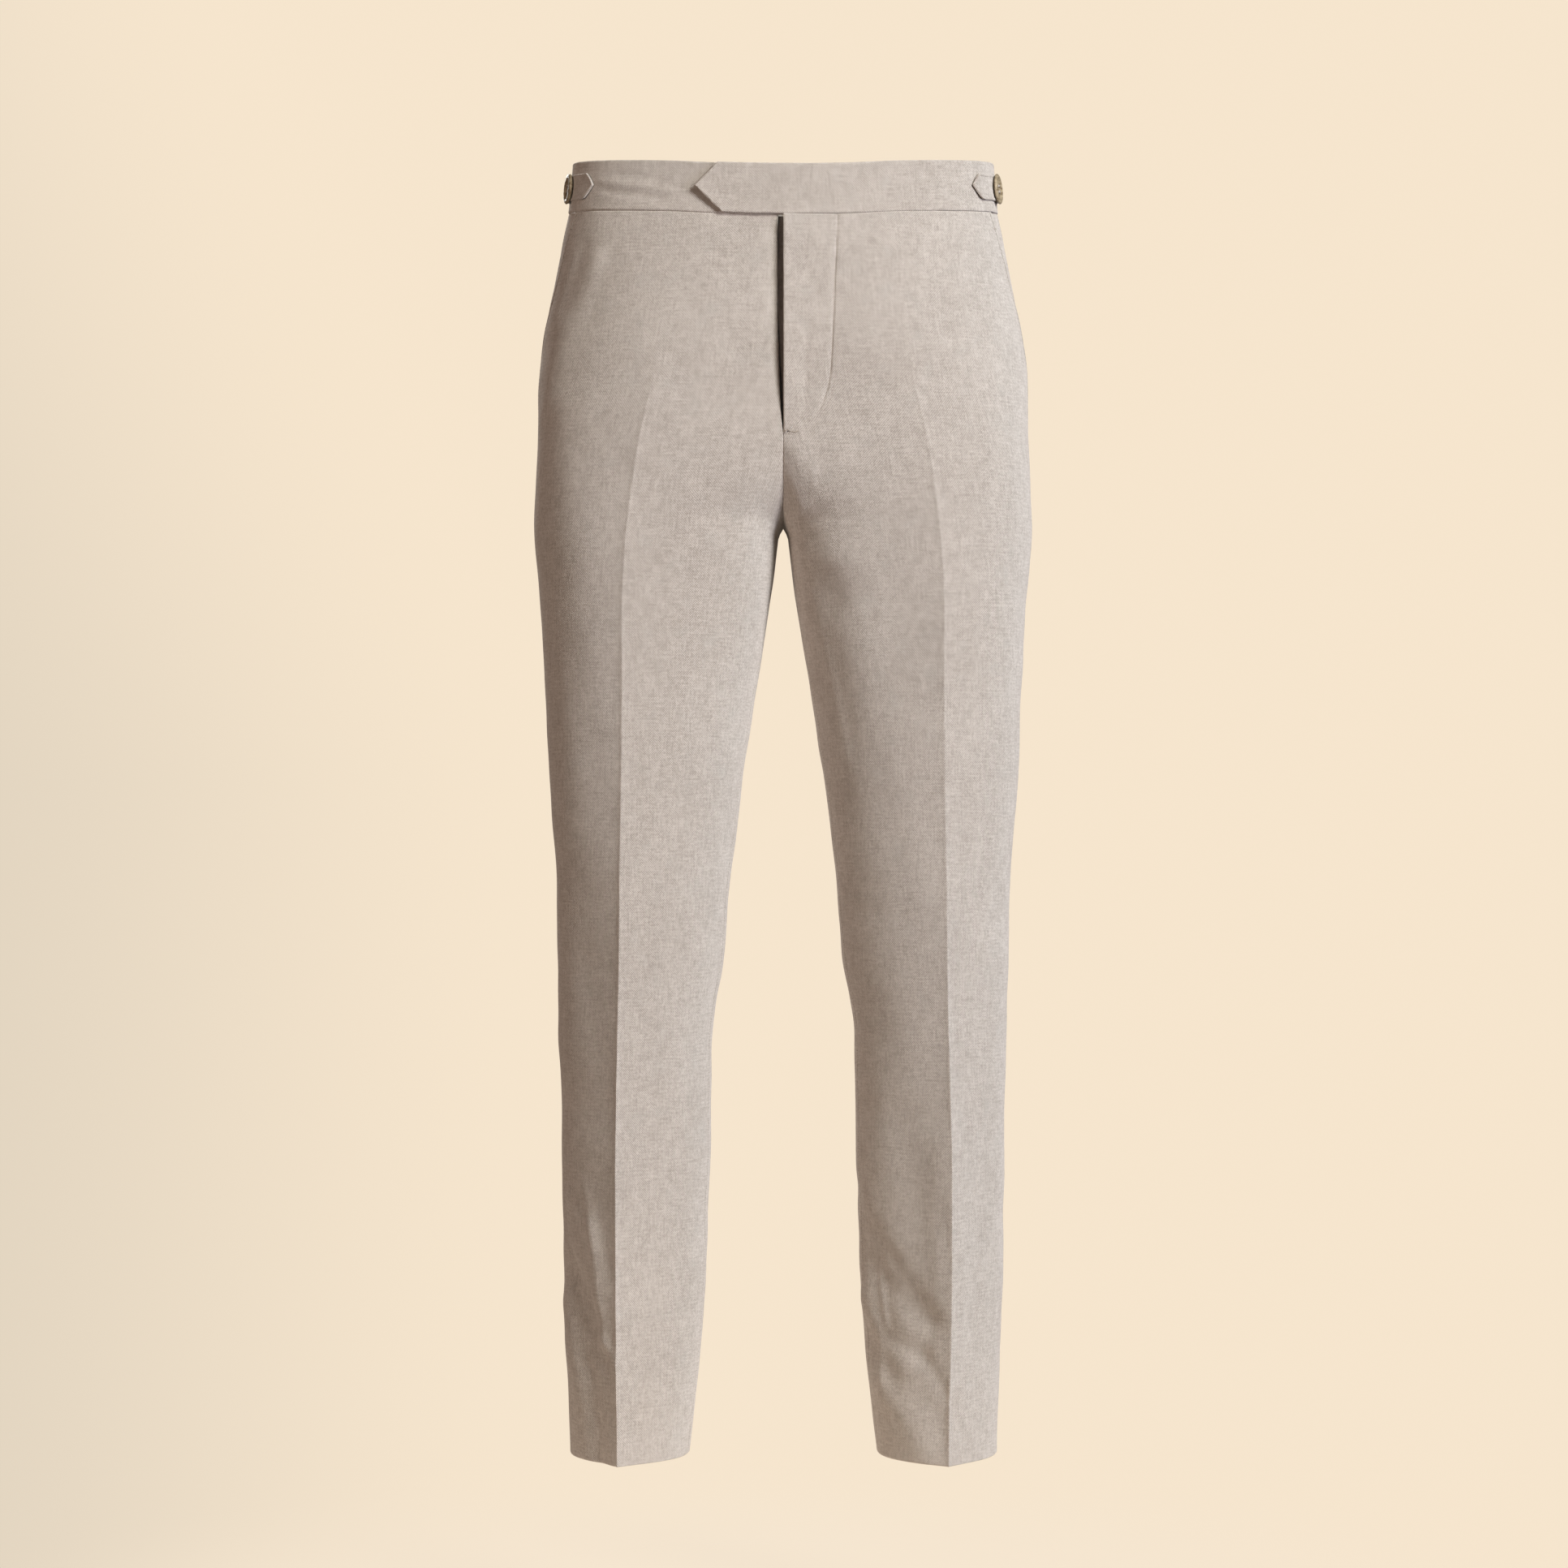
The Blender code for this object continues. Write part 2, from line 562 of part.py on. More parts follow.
RING_DISTANCE, RING_TURN = ring()
SIDE_DISTANCE = float(np.interp(2.0, RING_TURN, RING_DISTANCE))


def waist_point(distance, rise, side, lift, wall):
    """Outer and inner points at a distance round the waist and a rise over the waist seam.

    A distance below zero has crossed the centre front to the other side.
    """
    turn = np.interp(np.abs(distance), RING_DISTANCE, RING_TURN)
    height = SIDE_SEAM_TOP + waist_rise(turn) + rise
    face = surface(height, turn)
    normal = outward(height, turn)
    mirror = np.stack((np.where(distance < 0, -side, side), np.ones_like(turn), np.ones_like(turn)), axis=-1)
    outer = (face + normal * lift[..., None]) * mirror
    return outer, outer - normal * mirror * wall


def point_setback(share, tip_share, lengths):
    """How far a pointed end lies back from its tip, at a share of the strip's height."""
    low, high = lengths
    down = np.clip((tip_share - share) / tip_share, 0.0, 1.0)
    over = np.clip((share - tip_share) / (1 - tip_share), 0.0, 1.0)
    return low * down + high * over


def waistband(side, material):
    name = "waistband_left" if side > 0 else "waistband_right"
    lift_points = LEFT_LIFT if side > 0 else RIGHT_LIFT
    end = lift_points[0][0]
    bend = -POINT_START if side > 0 else 0.0
    lap = np.linspace(end, bend, LAP_STEPS + 1)[:-1]
    round_waist = np.linspace(bend, RING_DISTANCE[-1], WAISTBAND_STEPS + 1)
    round_waist[-1] -= SEAM / 2
    distance = np.concatenate((lap, round_waist))
    lean = np.clip((bend - distance) / (bend - end), 0.0, 1.0) if side > 0 else np.zeros_like(distance)
    outer, inner = [], []
    for share in (0.0, POINT_SHARE / 2, POINT_SHARE, (1 + POINT_SHARE) / 2, 1.0):
        here = distance + lean * point_setback(share, POINT_SHARE, POINT_LENGTH)
        rise = SEAM / 2 + share * (WAISTBAND_HEIGHT - SEAM / 2)
        lift = np.interp(here, *zip(*lift_points))
        face, lining = waist_point(here, rise, side, lift, WAISTBAND_WALL)
        outer.append(face)
        inner.append(lining)
    return shell(name, np.array(outer), np.array(inner), side, material)


def side_tab(side, material):
    name = "side_tab_left" if side > 0 else "side_tab_right"
    distance = SIDE_DISTANCE + np.linspace(TAB_TIP, TAB_BACK, TAB_STEPS + 1)
    near_tip = np.clip(1 - (distance - distance[0]) / TAB_TIP_REACH, 0.0, 1.0)
    middle = WAISTBAND_HEIGHT / 2 + TAB_RISE
    lift = WAISTBAND_PROUD + SEAM + TAB_WALL + TAB_TIP_LIFT * near_tip**2
    outer, inner = [], []
    for share in (0.0, 0.25, TAB_TIP_SHARE, 0.80, 1.0):
        here = distance + near_tip * point_setback(share, TAB_TIP_SHARE, TAB_POINT)
        face, lining = waist_point(here, middle + (share - 0.5) * TAB_HEIGHT, side, lift, TAB_WALL)
        outer.append(face)
        inner.append(lining)
    return shell(name, np.array(outer), np.array(inner), side, material)


def button(side, material):
    """A turned disc with a rim, a dish and four holes, flat on the tab."""
    name = "tab_button_left" if side > 0 else "tab_button_right"
    distance = np.array(SIDE_DISTANCE + BUTTON_BACK)
    seat = WAISTBAND_PROUD + SEAM + TAB_WALL + SEAM
    rise = WAISTBAND_HEIGHT / 2 - BUTTON_DROP
    centre, behind = waist_point(distance, rise, side, np.array(seat), TAB_WALL)
    axis = (centre - behind) / np.linalg.norm(centre - behind)
    aside = np.cross((0.0, 0.0, 1.0), axis)
    aside /= np.linalg.norm(aside)
    upright = np.cross(axis, aside)
    dish_radius, dish_depth = BUTTON_DISH
    profile = (
        (0.0, 0.0),
        (BUTTON_RADIUS - BUTTON_EDGE, 0.0),
        (BUTTON_RADIUS, BUTTON_EDGE),
        (BUTTON_RADIUS, BUTTON_THICKNESS - BUTTON_EDGE),
        (BUTTON_RADIUS - BUTTON_EDGE, BUTTON_THICKNESS),
        (dish_radius + BUTTON_EDGE, BUTTON_THICKNESS),
        (dish_radius - BUTTON_EDGE, BUTTON_THICKNESS - dish_depth),
        (0.0, BUTTON_THICKNESS - dish_depth),
    )
    disc = turned(name, profile, BUTTON_SIDES, centre, aside, upright, axis, material)
    for index in range(4):
        angle = math.pi / 4 + index * math.pi / 2
        offset = HOLE_SPACING / math.sqrt(2)
        middle = centre + offset * (math.cos(angle) * aside + math.sin(angle) * upright)
        hole_profile = (
            (0.0, -BUTTON_THICKNESS),
            (HOLE_RADIUS, -BUTTON_THICKNESS),
            (HOLE_RADIUS, 2 * BUTTON_THICKNESS),
            (0.0, 2 * BUTTON_THICKNESS),
        )
        hole = f"{name}_hole_{index}"
        cutter = turned(hole, hole_profile, HOLE_SIDES, middle, aside, upright, axis, material)
        cutter.hide_render = True
        cutter.display_type = "WIRE"
        cut = disc.modifiers.new(f"hole_{index}", "BOOLEAN")
        cut.operation = "DIFFERENCE"
        cut.object = cutter
    return disc


def turned(name, profile, sides, centre, aside, upright, axis, material):
    """A profile of (radius, height) points turned about an axis, which its first and last points lie on."""
    mesh = bmesh.new()
    first = mesh.verts.new(centre + axis * profile[0][1])
    last = mesh.verts.new(centre + axis * profile[-1][1])
    rings = []
    for radius, height in profile[1:-1]:
        angles = [2 * math.pi * index / sides for index in range(sides)]
        rings.append([
            mesh.verts.new(centre + axis * height + radius * (math.cos(a) * aside + math.sin(a) * upright))
            for a in angles
        ])
    for index in range(sides):
        following = (index + 1) % sides
        mesh.faces.new((first, rings[0][following], rings[0][index]))
        mesh.faces.new((last, rings[-1][index], rings[-1][following]))
        for low, high in zip(rings, rings[1:]):
            mesh.faces.new((low[index], low[following], high[following], high[index]))
    return finish(name, mesh, material)


def material_of(name, colour, roughness):
    material = bpy.data.materials.new(name)
    material.use_nodes = True
    shader = material.node_tree.nodes["Principled BSDF"]
    shader.inputs["Base Color"].default_value = colour
    shader.inputs["Roughness"].default_value = roughness
    shader.inputs["Metallic"].default_value = 0.0
    material.diffuse_color = colour
    return material


def main():
    for item in list(bpy.data.objects):
        bpy.data.objects.remove(item, do_unlink=True)
    for side in (1, -1):
        hand = "left" if side > 0 else "right"
        front(side, material_of(f"front cloth {hand}", CLOTH_COLOUR, CLOTH_ROUGHNESS))
        back(side, material_of(f"back cloth {hand}", CLOTH_COLOUR, CLOTH_ROUGHNESS))
        pocket_facing(side, material_of(f"pocket cloth {hand}", CLOTH_COLOUR, CLOTH_ROUGHNESS))
        waistband(side, material_of(f"waistband cloth {hand}", CLOTH_COLOUR, CLOTH_ROUGHNESS))
        side_tab(side, material_of(f"tab cloth {hand}", CLOTH_COLOUR, CLOTH_ROUGHNESS))
        button(side, material_of(f"button horn {hand}", BUTTON_COLOUR, BUTTON_ROUGHNESS))
    underlap(material_of("underlap cloth", CLOTH_COLOUR, CLOTH_ROUGHNESS))


main()
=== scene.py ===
"""The looks of a pair of suit trousers: cloth, sewing, horn buttons and a plain studio.

Metres, +Z up.  The front faces -Y and the wearer's left is at +X.  Heights are measured up from the hem.
A turn runs round one leg: 0 is its innermost line, or the centre front above the crotch, 1 the front
crease, 2 the side seam, 3 the back crease, and 4 the innermost line or the centre back.
"""

import math

import bmesh
import bpy
import numpy as np
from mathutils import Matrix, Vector


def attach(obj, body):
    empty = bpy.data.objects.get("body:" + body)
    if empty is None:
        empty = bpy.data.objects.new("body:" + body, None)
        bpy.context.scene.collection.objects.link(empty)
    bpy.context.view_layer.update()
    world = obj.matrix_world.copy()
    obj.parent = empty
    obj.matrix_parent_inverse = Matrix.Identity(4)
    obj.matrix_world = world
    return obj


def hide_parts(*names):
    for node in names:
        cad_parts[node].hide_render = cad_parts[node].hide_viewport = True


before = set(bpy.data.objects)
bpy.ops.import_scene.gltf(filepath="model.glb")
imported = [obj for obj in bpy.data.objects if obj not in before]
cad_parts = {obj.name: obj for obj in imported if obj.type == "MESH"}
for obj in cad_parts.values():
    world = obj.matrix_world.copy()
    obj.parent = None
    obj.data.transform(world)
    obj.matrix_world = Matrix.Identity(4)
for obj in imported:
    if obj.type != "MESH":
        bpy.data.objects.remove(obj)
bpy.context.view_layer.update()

bl_info = {
    "name": "Suit trousers",
    "version": (1, 0, 0),
    "blender": (4, 5, 0),
    "location": "3D View > Sidebar > Trousers",
    "description": "Dresses the solids of a pair of suit trousers in cloth, sewing and horn buttons",
    "category": "Object",
}

# Heights above the hem
WAIST_HEIGHT = 1.025  # the origin
CROTCH_HEIGHT = 0.750
SIDE_SEAM_TOP = 1.006
FLY_BOTTOM = 0.818
POCKET_BOTTOM = 0.8357
FACING_BOTTOM = 0.8398
WAISTBAND_HEIGHT = 0.0405
FRONT_DIP = 0.0141
DIP_POWER = 1.2
BACK_RISE = 0.0094

# Cloth
WALL = 0.0016
WAISTBAND_WALL = 0.0026
TAB_WALL = 0.0018
SEAM = 0.0003  # between two pieces
SEAM_ASIDE = 0.0002  # by which one edge of a centre seam crosses the centre, so that no light passes both
SEAM_EASE = 0.004  # distance from a centre seam over which the folds stop moving the cloth sideways
UNDER = 0.0009  # between a curved piece and the one that it lies behind
WAISTBAND_PROUD = 0.0006

# Crotch seam
CROTCH_Y = -0.012
CROTCH_FRONT = (0.093, 0.075)
CROTCH_BACK = (0.138, 0.110)
FORK_FRONT = (0.110, 2.2)
FORK_BACK = (0.150, 2.0)
FORK_EASE = 0.045  # the height above the crotch over which the two legs' own curves merge
FORK_REACH = ((0.47, 0.545), (0.37, 0.37))  # how squarely those curves turn, at the front and at the back
TRIM_HALVINGS = 22
ARCH_HEIGHT = 0.008
INSEAM_TURN = 0.13
INSEAM_EASE = 0.150
HANDLE = 0.37
FACET_HANDLE = 0.55  # keeps the outer facet of a leg flat from the front crease on
FACET_TOP = (0.945, 0.100)  # where that starts, and over what height it grows
SOFT_ASIDE = 0.12  # turns to either side over which the direction of the soft folds is evened out
WAVES = 18  # that the cloth's unevenness is made of

# Half widths from the centre plane, and the depth at which they lie
SIDE_COLUMNS = ("height", "outer", "outer_y", "inner", "inner_y")
SIDE_ROWS = (
    (0.000, 0.1735, 0.006, 0.0765, 0.003),
    (0.050, 0.1750, 0.005, 0.0705, 0.005),
    (0.111, 0.1775, 0.004, 0.0650, 0.007),
    (0.190, 0.1790, 0.002, 0.0610, 0.008),
    (0.290, 0.1805, 0.000, 0.0585, 0.008),
    (0.349, 0.1818, 0.000, 0.0572, 0.008),
    (0.369, 0.1824, 0.000, 0.0540, 0.008),
    (0.389, 0.1828, 0.000, 0.0500, 0.008),
    (0.428, 0.1836, 0.000, 0.0462, 0.008),
    (0.468, 0.1842, 0.000, 0.0426, 0.008),
    (0.547, 0.1904, -0.002, 0.0327, 0.007),
    (0.626, 0.1930, -0.002, 0.0210, 0.004),
    (0.705, 0.1987, 0.000, 0.0080, -0.004),
    (0.745, 0.2015, 0.000, 0.0042, -0.010),
    (0.785, 0.2013, 0.000, 0.0000, CROTCH_Y),
    (0.824, 0.1990, 0.001, 0.0000, CROTCH_Y),
    (0.864, 0.1985, 0.002, 0.0000, CROTCH_Y),
    (0.903, 0.1947, 0.002, 0.0000, CROTCH_Y),
    (0.943, 0.1870, 0.001, 0.0000, CROTCH_Y),
    (0.983, 0.1790, 0.000, 0.0000, CROTCH_Y),
    (1.008, 0.1738, 0.000, 0.0000, CROTCH_Y),
    (1.070, 0.1695, 0.000, 0.0000, CROTCH_Y),
)

# Where the pressed creases lie, the angles in degrees at which the cloth comes to and leaves them, and
# how squarely the quarter curve between the innermost line and the front crease turns its corner
CREASE_COLUMNS = (
    "height", "front_x", "front_y", "front_in", "front_out",
    "back_x", "back_y", "back_in", "back_out", "inner_reach", "crease_reach",
)
CREASE_ROWS = (
    (0.000, 0.1317, -0.0725, -33, 48, 0.1180, 0.0690, 33, 52, 0.42, 0.38),
    (0.111, 0.1330, -0.0725, -33, 47, 0.1095, 0.0700, 33, 51, 0.40, 0.38),
    (0.290, 0.1328, -0.0745, -31, 45, 0.1055, 0.0755, 32, 50, 0.37, 0.37),
    (0.389, 0.1305, -0.0770, -24, 40, 0.1030, 0.0790, 30, 48, 0.37, 0.37),
    (0.468, 0.1295, -0.0805, -17, 34, 0.0995, 0.0825, 28, 44, 0.37, 0.38),
    (0.547, 0.1281, -0.0850, -13, 27, 0.0960, 0.0880, 27, 39, 0.38, 0.40),
    (0.626, 0.1272, -0.0915, -11, 22, 0.0900, 0.0975, 24, 31, 0.41, 0.44),
    (0.705, 0.1263, -0.1000, -9, 19, 0.0840, 0.1075, 19, 20, 0.47, 0.51),
    (0.745, 0.1232, -0.1045, -6, 17, 0.0820, 0.1130, 16, 13, 0.50, 0.56),
    (0.785, 0.1180, -0.1085, -3, 15, 0.0825, 0.1175, 14, 4, 0.24, 0.58),
    (0.824, 0.1112, -0.1105, 2, 15, 0.0840, 0.1208, 13, -4, 0.27, 0.46),
    (0.864, 0.1016, -0.1100, 7, 16, 0.0860, 0.1210, 13, -9, 0.34, 0.39),
    (0.903, 0.0960, -0.1070, 12, 16, 0.0885, 0.1160, 15, -14, 0.37, 0.37),
    (0.943, 0.0925, -0.0990, 14, 16, 0.0895, 0.1060, 17, -17, 0.37, 0.37),
    (0.983, 0.0900, -0.0895, 17, 17, 0.0900, 0.0945, 19, -19, 0.37, 0.37),
    (1.008, 0.0880, -0.0840, 18, 18, 0.0900, 0.0881, 20, -20, 0.37, 0.37),
    (1.070, 0.0855, -0.0815, 18, 18, 0.0885, 0.0835, 19, -19, 0.37, 0.37),
)

CENTRE_COLUMNS = ("height", "front", "back")
CENTRE_ROWS = (
    (0.825, -0.1050, 0.1240),
    (0.860, -0.1065, 0.1260),
    (0.903, -0.1070, 0.1245),
    (0.943, -0.1045, 0.1170),
    (0.983, -0.1000, 0.1080),
    (1.008, -0.0975, 0.1030),
    (1.070, -0.0950, 0.0970),
)

# Soft folds, each a trough or a ridge along the line from a to b; side 1 is the wearer's left.
# The first rows are the solids' own, and the rest are finer.
FOLD_COLUMNS = ("side", "height_a", "turn_a", "height_b", "turn_b", "half_width", "rise")
FOLD_ROWS = (
    (-1, 0.150, 1.55, 0.086, 1.12, 0.010, -0.0030),
    (-1, 0.122, 1.75, 0.060, 1.35, 0.012, 0.0020),
    (1, 0.157, 0.28, 0.113, 0.85, 0.012, -0.0030),
    (1, 0.125, 0.15, 0.075, 0.60, 0.012, 0.0025),
    (1, 0.092, 0.20, 0.042, 0.95, 0.012, -0.0020),
    (1, 0.806, 0.10, 0.724, 0.36, 0.012, 0.0020),
    (1, 0.785, 0.32, 0.738, 0.42, 0.012, -0.0020),
    (-1, 0.790, 0.16, 0.730, 0.30, 0.013, -0.0015),
    (1, 0.800, 3.85, 0.715, 3.35, 0.014, -0.0030),
    (-1, 0.795, 3.82, 0.725, 3.30, 0.014, -0.0028),
    (1, 0.770, 3.60, 0.690, 3.10, 0.016, 0.0020),
    (-1, 0.765, 3.62, 0.700, 3.15, 0.016, 0.0018),
    (1, 0.400, 2.55, 0.388, 3.40, 0.013, -0.0026),
    (-1, 0.410, 2.65, 0.392, 3.45, 0.013, -0.0024),
    (-1, 0.118, 2.50, 0.085, 3.10, 0.012, -0.0022),
    (1, 0.140, 2.60, 0.096, 3.20, 0.012, -0.0022),
    # The wearer's right leg, outer facet of the front
    (-1, 0.204, 1.76, 0.149, 1.46, 0.007, -0.0014),
    (-1, 0.149, 1.46, 0.097, 1.04, 0.006, -0.0012),
    (-1, 0.221, 1.33, 0.125, 1.03, 0.006, 0.0010),
    (-1, 0.092, 1.48, 0.044, 1.05, 0.006, -0.0010),
    (-1, 0.076, 1.70, 0.012, 1.15, 0.006, 0.0010),
    (-1, 0.190, 1.24, 0.098, 1.11, 0.0075, 0.0034),
    (-1, 0.098, 1.11, 0.080, 1.00, 0.006, 0.0016),
    (-1, 0.084, 1.32, 0.006, 1.17, 0.010, -0.0034),
    (-1, 0.075, 1.02, 0.005, 1.02, 0.011, 0.0008),
    # its hip, below the pocket
    (-1, 0.968, 1.34, 0.914, 1.37, 0.0040, -0.0007),
    (-1, 0.962, 1.44, 0.880, 1.50, 0.0080, 0.0010),
    (-1, 0.972, 1.56, 0.925, 1.64, 0.0060, -0.0009),
    (-1, 0.978, 0.63, 0.950, 0.60, 0.0035, -0.0007),
    (-1, 0.944, 0.62, 0.905, 0.44, 0.0050, 0.0008),
    (-1, 0.925, 0.52, 0.885, 0.40, 0.0050, -0.0008),
    (-1, 0.905, 1.58, 0.850, 1.60, 0.0120, 0.0012),
    (-1, 0.160, 1.62, 0.100, 1.38, 0.009, -0.0016),
    # its inner facet
    (-1, 0.701, 0.74, 0.697, 0.54, 0.004, -0.0006),
    (-1, 0.716, 0.99, 0.715, 0.86, 0.005, -0.0005),
    (-1, 0.729, 0.97, 0.725, 0.73, 0.006, 0.0005),
    (-1, 0.746, 0.62, 0.732, 0.48, 0.005, -0.0005),
    # The wearer's left leg, inner facet of the front
    (1, 0.215, 0.02, 0.161, 0.53, 0.008, -0.0014),
    (1, 0.161, 0.53, 0.117, 0.86, 0.007, -0.0012),
    (1, 0.156, 0.34, 0.110, 0.43, 0.004, 0.0009),
    (1, 0.098, 0.42, 0.087, 0.79, 0.006, -0.0014),
    (1, 0.087, 0.79, 0.053, 1.00, 0.005, -0.0016),
    (1, 0.086, 0.35, 0.063, 0.37, 0.006, 0.0012),
    (1, 0.058, 0.64, 0.054, 0.86, 0.006, 0.0009),
    (1, 0.036, 0.29, 0.031, 0.51, 0.007, -0.0010),
    (1, 0.026, 0.86, 0.021, 0.97, 0.005, -0.0006),
    (1, 0.209, 0.93, 0.153, 0.99, 0.005, -0.0007),
    (1, 0.250, 0.17, 0.248, 0.69, 0.005, -0.0005),
    (1, 0.442, 0.35, 0.437, 0.73, 0.004, -0.0006),
    (1, 0.250, 1.00, 0.105, 1.00, 0.022, 0.0038),
    (1, 0.172, 0.32, 0.100, 0.42, 0.016, -0.0028),
    (1, 0.060, 0.30, 0.015, 0.75, 0.016, 0.0022),
    # beside its fly
    (1, 0.905, 0.185, 0.832, 0.175, 0.0040, -0.0010),
    (1, 0.8184, 0.005, 0.8192, 0.115, 0.0011, -0.0008),
    (1, 0.712, 0.44, 0.684, 0.50, 0.0100, -0.0022),
    (1, 0.812, 0.02, 0.772, 0.08, 0.0100, -0.0014),
    # its drag lines at the crotch
    (1, 0.790, 0.30, 0.719, 0.54, 0.0045, 0.0012),
    (1, 0.755, 0.60, 0.702, 0.71, 0.0045, 0.0010),
    (1, 0.783, 0.39, 0.728, 0.63, 0.0050, -0.0012),
    (1, 0.793, 0.12, 0.727, 0.45, 0.0060, -0.0010),
    (1, 0.690, 0.74, 0.687, 0.83, 0.0060, -0.0010),
    (1, 0.661, 0.67, 0.619, 0.64, 0.0035, 0.0006),
    (1, 0.698, 0.39, 0.572, 0.48, 0.0080, -0.0010),
    # Backs: under the seat, behind the knees and above the hems
    (1, 0.745, 3.90, 0.660, 3.55, 0.008, -0.0014),
    (-1, 0.735, 3.92, 0.672, 3.60, 0.008, -0.0012),
    (1, 0.820, 3.90, 0.790, 3.30, 0.012, -0.0012),
    (-1, 0.826, 3.92, 0.785, 3.40, 0.012, -0.0014),
    (1, 0.428, 3.55, 0.413, 2.90, 0.006, -0.0012),
    (-1, 0.436, 3.60, 0.424, 3.00, 0.006, -0.0010),
    (1, 0.372, 2.60, 0.352, 3.30, 0.007, -0.0012),
    (-1, 0.365, 2.50, 0.350, 3.20, 0.007, -0.0010),
    (1, 0.180, 3.70, 0.130, 3.20, 0.008, -0.0012),
    (-1, 0.170, 3.75, 0.115, 3.30, 0.008, -0.0014),
    (1, 0.075, 2.70, 0.040, 3.10, 0.008, -0.0012),
    (-1, 0.060, 3.60, 0.030, 3.15, 0.008, -0.0010),
)

# Fly
FLY_WIDTH = 0.042
FLY_LIFT = 0.0054
# Height, against how far the edge under the fly is drawn back, which leaves a slot
FLY_GAPS = ((0.818, 0.0), (0.8275, 0.0014), (0.8466, 0.0025), (0.8721, 0.0033), (0.904, 0.0041))
FLY_EASE = 0.060  # height over which the lapping edge comes away from the one under it
FLY_EDGE = (0.0012, 0.0022)  # depth and width of its rounding
FLY_SINK = (0.0042, 0.0170)  # how far the edge under it sinks, and over what width
FLY_TOP = 0.012  # height below the waist seam over which it sinks
UNDERLAP_REACH = (-0.022, 0.038)
UNDERLAP_BOTTOM = 0.822
CURVED_STITCH_COLUMNS = ("height", "from_centre", "depth")
CURVED_STITCH_ROWS = (
    (0.8240, 0.0250, 0.00000),
    (0.8300, 0.0295, 0.00025),
    (0.8370, 0.0342, 0.00055),
    (0.8450, 0.0375, 0.00075),
    (0.8540, 0.0402, 0.00080),
    (0.8650, 0.0416, 0.00080),
    (0.8800, 0.0420, 0.00075),
    (0.9400, 0.0412, 0.00075),
    (1.0070, 0.0432, 0.00070),
)

# Pocket
POCKET_SET = 0.030
FACING_TUCK = 0.014
FACING_RECESS = 0.0025

# Waistband: distances round the waist from the centre front, against how far the face stands out
LEFT_LIFT = ((-0.0692, 0.0076), (-0.050, 0.0050), (0.0, 0.0046), (0.060, WAISTBAND_PROUD))
RIGHT_LIFT = ((-0.038, -0.0016), (0.006, WAISTBAND_PROUD), (0.030, WAISTBAND_PROUD))
# Its soft folds, each along the line from a to b: distances round the waist and rises above the waist seam
BAND_COLUMNS = ("side", "distance_a", "rise_a", "distance_b", "rise_b", "half_width", "rise")
BAND_ROWS = (
    (-1, 0.156, 0.0235, 0.090, 0.0160, 0.0030, 0.0008),
    (-1, 0.150, 0.0155, 0.098, 0.0095, 0.0026, -0.0007),
    (-1, 0.140, 0.0300, 0.105, 0.0260, 0.0028, -0.0005),
    (1, 0.118, 0.0290, 0.090, 0.0250, 0.0030, -0.0004),
    (1, 0.330, 0.0270, 0.285, 0.0180, 0.0030, 0.0006),
    (-1, 0.352, 0.0130, 0.300, 0.0210, 0.0030, -0.0006),
)
POINT_LENGTH = (0.0215, 0.0174)
POINT_SHARE = 0.49
POINT_START = 0.040
POINT_SLANT = 0.71  # of a distance along the waistband that lies square to the point's edges

# Side adjusters: distances round the waist, back from the side
TAB_TIP = -0.0545
TAB_BACK = 0.050
TAB_HEIGHT = 0.0210
TAB_RISE = -0.0007
TAB_POINT = (0.010, 0.0078)
TAB_TIP_SHARE = 0.54
TAB_CORNER = (0.0020, 0.0022)  # height and length of the rounding where its point begins
TAB_BULGE = 0.0006  # of the point's two edges
TAB_TIP_LIFT = 0.0014
TAB_TIP_REACH = 0.020
BUTTON_BACK = -0.016
BUTTON_DROP = 0.0015
BUTTON_RADIUS = 0.0122
BUTTON_THICKNESS = 0.0030
HOLE_RADIUS = 0.0010
HOLE_SPACING = 0.0048

# Sewn edges
ROLL = (0.0007, 0.0011)  # depth and width of the rounding of a seamed edge
FOLDED_ROLL = (0.0008, 0.0013)  # and of a folded one
CREASE_WIDTH = 0.0021
CREASE_TOP = 0.880  # where a crease has faded out
CREASE_FADE = 0.060
DART_LENGTH = 0.085
DART_WIDTH = 0.0009
DART_DEPTH = 0.0005
HEM_HEIGHT = 0.042
HEM_WALL = 0.0007  # what the turned-up hem adds inside
HEM_EASE = 0.0015
MOUTH_STITCH = (0.0036, 0.0006, 0.00045)  # a pocket mouth's stitching: inset, half width and depth
MOUTH_RIM = (0.0040, 0.0010, 0.00030)  # the swell between it and the edge: inset, ease and height

PAINTED_SLOT_SHADE = 0.40  # painted shade: how far the strip behind the fly is darkened against the other cloth, standing for the shadow in the fly's slot

# Studio
SENSOR = 36.0  # millimetres
CAMERA_DISTANCE = 3.2
CAMERA_REACH = 0.6376  # half of what the picture shows at the trousers
LIT_MIDDLE = (0.0, 0.0, -0.48)  # where the lights are aimed
GROUND_SLANT = 0.42  # how much the ground brightens upwards, against across
GROUND_EDGE = (-0.24, -0.05)  # from its shaded part to its light part

